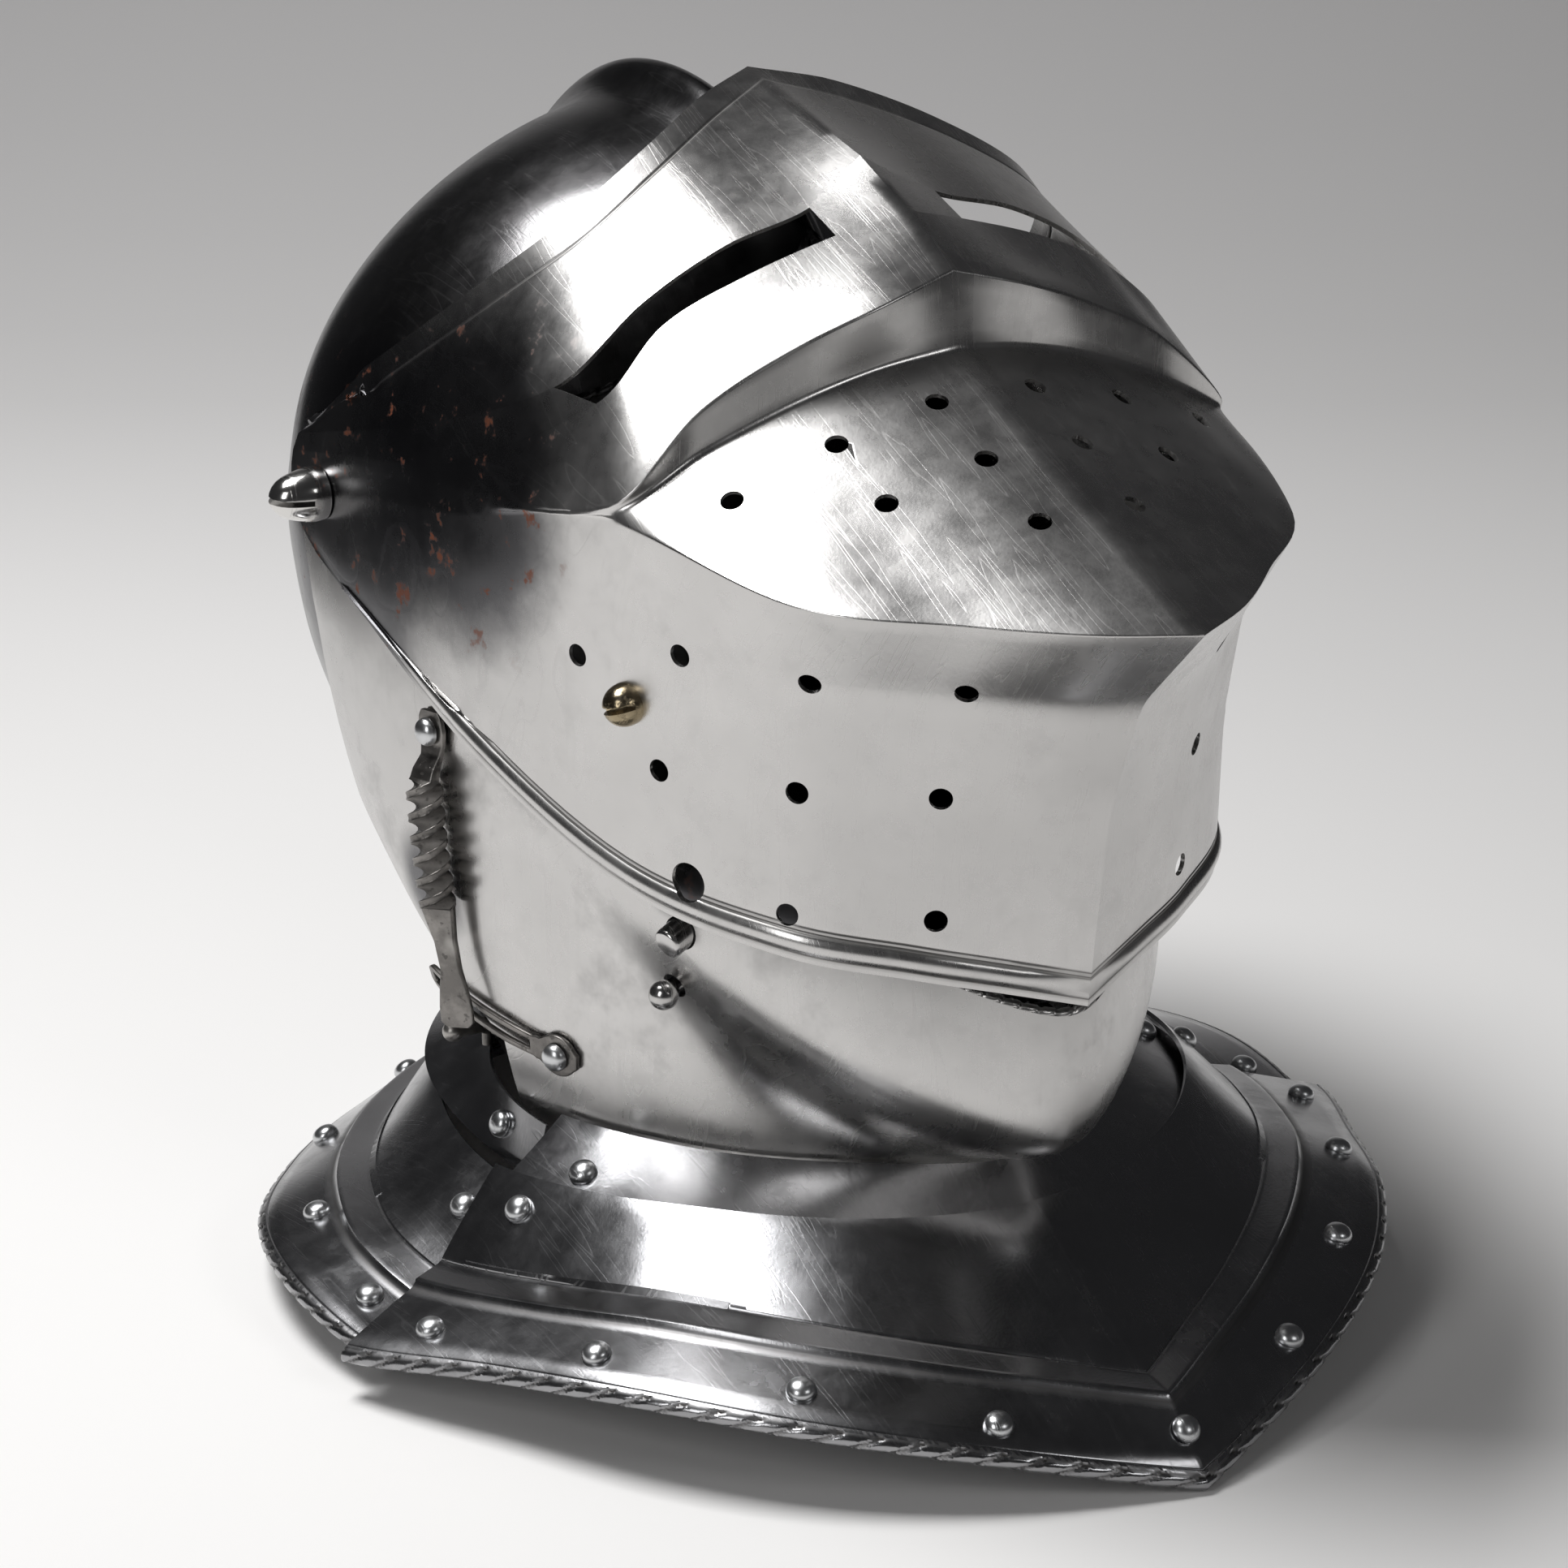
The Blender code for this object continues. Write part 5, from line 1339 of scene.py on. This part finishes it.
def swinging_rivet(node, body, axis, foot):
    """The rivet that the bar or the hasp swings on: dome, with its shank below."""
    middle, low, high = along_axis(node, axis)
    s = sizes()
    top = high - low
    profile = arc(s.rivet_radius, s.rivet_height, top - s.rivet_height, 10, 0.85)
    profile += [(0.0018, top - s.rivet_height), (0.0018, -foot), (0, -foot)]
    add_turned(node + "_finished", profile, standing(middle + low * axis, axis),
               rivet_material(), body, node)


class BarMaker(bpy.types.Operator):
    """Make the twisted side bar and its rivet"""
    bl_idname = "helmet.side_bar"
    bl_label = "Side bar"

    def execute(self, context):
        axis = Vector(JOINTS["bar_swing"]["axis"]).normalized()
        point = Vector(JOINTS["bar_swing"]["pos_m"])
        matrix = standing(point, axis, Vector((0, -BAR_LEAN, -1)))
        start, end = BAR_TWIST_SPAN
        ring = []
        for across, over in ((1, 1), (-1, 1), (-1, -1), (1, -1)):
            for dx, dy in ((0.0, 0.45), (0.12, 0.14), (0.45, 0.0)):
                a, b = (dx, dy) if across * over > 0 else (dy, dx)
                ring.append((across * (1 - 0.30 * a), over * (1 - 0.8 * b)))
        ring = ring + ring[:1]
        shares = np.linspace(BAR_SECTIONS[0][0], 1, 190)
        rows = []
        for share in shares:
            width, thickness, lift = linear_table(BAR_SECTIONS, share)
            turn = 2 * math.pi * BAR_TWISTS * min(max((share - start) / (end - start), 0), 1)
            row = []
            for across, over in ring:
                stout = 1 + 0.55 * (start < share < end)
                y = across * width * BAR_WIDTH / 2
                z = over * thickness * stout * BAR_THICKNESS / 2
                row.append(matrix @ Vector((share * BAR_LENGTH,
                                            y * math.cos(turn) - z * math.sin(turn),
                                            lift * BAR_WIDTH + y * math.sin(turn)
                                            + z * math.cos(turn))))
            rows.append(row)
        shape = grid(rows)
        bmesh.ops.remove_doubles(shape, verts=shape.verts, dist=SAME_PLACE)
        rim = [edge for edge in shape.edges if edge.is_boundary]
        bmesh.ops.holes_fill(shape, edges=rim, sides=0)
        bmesh.ops.recalc_face_normals(shape, faces=shape.faces)
        material = forged("forged_steel", tuple(colours().forged))
        thing = add_object("side_bar_finished", shape, material, "bar", ["side_bar"])
        soften(thing.data, 50)
        swinging_rivet("bar_rivet", "bevor", axis, 0.0004)
        return {"FINISHED"}


class HaspMaker(bpy.types.Operator):
    """Make the slotted hasp and its rivet"""
    bl_idname = "helmet.hasp"
    bl_label = "Hasp"

    def execute(self, context):
        tree = trees["bevor_whole"]
        start, _ = from_side(tree, HASP_SPOT[0] * REACH / 100, HASP_SPOT[1] * DROP / 100)
        end, _ = from_side(tree, HASP_END_SPOT[0] * REACH / 100, HASP_END_SPOT[1] * DROP / 100)
        along = Vector((0, end.y - start.y, end.z - start.z)).normalized()
        across = Vector((1, 0, 0)).cross(along)
        shares = [float(share) for share in np.linspace(HASP_OUTLINE[0][0], 1, 60)]
        rows = []
        for share in shares:
            tab, strip = linear_table(HASP_OUTLINE, share)
            half = tab * HASP_TAB_RADIUS + strip * HASP_HALF_WIDTH
            if -0.11 < share < 0.10:
                half = math.sqrt(max(HASP_TAB_RADIUS ** 2 - (share * HASP_LENGTH) ** 2, 0))
                half = max(half, HASP_HALF_WIDTH * (1 if share > 0 else 0.15))
            inner = HASP_SLOT_HALF_WIDTH * half / max(half, HASP_HALF_WIDTH)
            row = []
            for offset in (-half, -(half + inner) / 2, -inner, inner, (half + inner) / 2, half):
                flat = start + share * HASP_LENGTH * along + offset * across
                point, _ = from_side(tree, AXIS_Y - flat.y, flat.z - AXIS_HEIGHT)
                lift = SEAT_GAP + (HASP_LIFT - SEAT_GAP) * min(max(3 * share, 0), 1)
                row.append(Vector((-point.x - lift, point.y, point.z)))
            rows.append(row)
        shape = grid(rows)
        gone = []
        centre_line = Vector((0, start.y, start.z))
        for face in shape.faces:
            middle = face.calc_center_median() - centre_line
            run = middle.dot(along) / HASP_LENGTH
            if 0.15 < run < 0.95 and abs(middle.dot(across)) < 0.5 * HASP_SLOT_HALF_WIDTH:
                gone.append(face)
        bmesh.ops.delete(shape, geom=gone, context="FACES")
        facing_out(shape, place(0, 0, 0))
        material = forged("forged_steel", tuple(colours().forged))
        thing = add_object("hasp_finished", shape, material, "hasp", ["hasp"])
        wall = thing.modifiers.new("Strip", "SOLIDIFY")
        wall.thickness = HASP_THICKNESS
        wall.offset = 1
        round_off = thing.modifiers.new("Worn edges", "BEVEL")
        round_off.width = 0.0004
        round_off.segments = 3
        round_off.limit_method = "ANGLE"
        round_off.angle_limit = math.radians(50)
        apply_modifiers(thing)
        soften(thing.data, 50)
        axis = Vector(JOINTS["hasp_swing"]["axis"]).normalized()
        swinging_rivet("hasp_rivet", "bevor", axis, 0.0004)
        return {"FINISHED"}


class PostMaker(bpy.types.Operator):
    """Make the locking post and its pin"""
    bl_idname = "helmet.post"
    bl_label = "Locking post"

    def execute(self, context):
        material = forged("forged_steel", tuple(colours().forged))
        outward = Vector((-1, 0, 0))
        middle, low, high = along_axis("locking_post", outward)
        length = high - low
        ball = length - POST_BALL_RADIUS
        profile = []
        for turn in np.radians(np.linspace(0, 108, 10)):
            profile.append((POST_BALL_RADIUS * math.sin(turn),
                            ball + POST_BALL_RADIUS * math.cos(turn)))
        profile += [(POST_RADIUS, ball - 0.0021), (POST_RADIUS, 0.0021), (0.0036, 0.0020),
                    (0.0040, 0.0016), (0.0040, 0.0004), (0.0037, 0), (0, 0)]
        add_turned("locking_post_finished", profile, standing(middle + low * outward, outward),
                   material, "root", "locking_post")
        down = Vector((0, 0, -1))
        middle, low, high = along_axis("post_pin", down)
        length = high - low
        pin = [(0, length), (0.0009, length), (0.0013, length - 0.0004), (0.0013, 0), (0, 0)]
        add_turned("post_pin_finished", pin, standing(middle + low * down, down), material,
                   "root", "post_pin")
        return {"FINISHED"}


def area_light(name, spot, target, size, power):
    """A soft rectangular light that faces its target."""
    data = bpy.data.lights.new(name, "AREA")
    data.shape = "RECTANGLE"
    data.size, data.size_y = size
    data.energy = power * colours().light
    lamp = bpy.data.objects.new(name, data)
    bpy.context.scene.collection.objects.link(lamp)
    spot = Vector(spot)
    turn = Matrix.Rotation(math.radians(90), 4, "Z")
    lamp.matrix_world = standing(spot, spot - Vector(target)) @ turn

class StageMaker(bpy.types.Operator):
    """Make the floor, the backdrop, the lights and the camera"""
    bl_idname = "helmet.stage"
    bl_label = "Stage"

    def execute(self, context):
        c = colours()
        self.floor(c)
        scene = context.scene
        world = bpy.data.worlds.new("Room")
        world.use_nodes = True
        world.node_tree.nodes["Background"].inputs[0].default_value = (0.5, 0.5, 0.52, 1)
        world.node_tree.nodes["Background"].inputs[1].default_value = 0.06
        scene.world = world
        area_light("overhead", (-0.45, 0.40, 1.55), (0, 0, 0.1), (0.75, 0.6), 21)
        area_light("left", (-1.5, -0.7, 0.9), (0, 0, 0.15), (0.5, 0.9), 5)
        area_light("front", (0.5, -1.9, 1.3), (0, 0, 0.1), (0.7, 0.5), 3)
        data = bpy.data.cameras.new("Camera")
        data.lens = 100
        data.sensor_width = 36
        data.clip_end = 30
        camera = bpy.data.objects.new("Camera", data)
        scene.collection.objects.link(camera)
        camera.matrix_world = self.camera_place()
        scene.camera = camera
        scene.view_settings.view_transform = "Standard"
        return {"FINISHED"}

    @staticmethod
    def camera_place():
        azimuth = math.radians(CAMERA_AZIMUTH)
        elevation = math.radians(CAMERA_ELEVATION)
        right = Vector((math.cos(azimuth), math.sin(azimuth), 0))
        forward = Vector((-math.sin(azimuth) * math.cos(elevation),
                          math.cos(azimuth) * math.cos(elevation), -math.sin(elevation)))
        up = right.cross(forward)
        turn = Matrix((right, up, -forward)).transposed().to_4x4()
        return Matrix.Translation(CAMERA_SPOT) @ turn

    @staticmethod
    def floor(c):
        """A floor that sweeps up into the backdrop behind the helmet."""
        profile = [(-1.5, 0), (-0.9, 0), (-0.4, 0), (0, 0), (0.3, 0), (0.6, 0), (0.9, 0)]
        for turn in np.radians(np.linspace(6, 90, 14)):
            profile.append((0.9 + 1.1 * math.sin(turn), 1.1 - 1.1 * math.cos(turn)))
        profile.append((2.0, 1.6))
        turn = Matrix.Rotation(math.radians(CAMERA_AZIMUTH), 4, "Z")
        rows = []
        marks = []
        for y, z in profile:
            half = 1.2 - 0.75 * min(max((y + 0.5) / 0.9, 0), 1) + 0.22 * max(y - 0.4, 0)
            rows.append([turn @ Vector((half * across, y, z)) for across in (-1, -0.5, 0, 0.5, 1)])
            marks.append(y)
        shape = grid(rows, None, marks)
        facing_out(shape, Vector((0, 0, -5)))
        thing = new_object("floor", shape)
        soften(thing.data)
        look = Finish("floor_paper")
        # Painted shade: the attribute holds each row's place along the sweep, so the paper blends
        # from the floor colour into the darker backdrop colour towards the top
        tint = look.mix(look.attribute("shade_and_dirt").fade(0.0, 1.9), tuple(c.floor), tuple(c.backdrop))
        look.feed(look.shader.inputs["Base Color"], tint)
        look.shader.inputs["Roughness"].default_value = 0.75
        thing.data.materials.append(look.material)


class HelmetPanel(bpy.types.Panel):
    """Buttons for each piece of the helmet"""
    bl_idname = "VIEW3D_PT_close_helmet"
    bl_label = "Close Helmet"
    bl_space_type = "VIEW_3D"
    bl_region_type = "UI"
    bl_category = "Close Helmet"

    def draw(self, context):
        layout = self.layout
        for group in (context.scene.helmet_sizes, context.scene.helmet_colours):
            for name in group.__annotations__:
                layout.prop(group, name)
        for maker in MAKERS:
            layout.operator(maker.bl_idname)


MAKERS = (SkullMaker, BevorMaker, VisorMaker, GorgetMaker, CollarMaker, RivetMaker, PivotMaker,
          VisorScrewMaker, CatchMaker, BarMaker, HaspMaker, PostMaker, StageMaker)
CLASSES = (HelmetSizes, HelmetColours, *MAKERS, HelmetPanel)


def register():
    for kind in CLASSES:
        bpy.utils.register_class(kind)
    bpy.types.Scene.helmet_sizes = PointerProperty(type=HelmetSizes)
    bpy.types.Scene.helmet_colours = PointerProperty(type=HelmetColours)


def unregister():
    del bpy.types.Scene.helmet_colours
    del bpy.types.Scene.helmet_sizes
    for kind in reversed(CLASSES):
        bpy.utils.unregister_class(kind)


def main():
    register()
    for maker in MAKERS:
        group, name = maker.bl_idname.split(".")
        getattr(getattr(bpy.ops, group), name)()


if __name__ == "__main__":
    main()
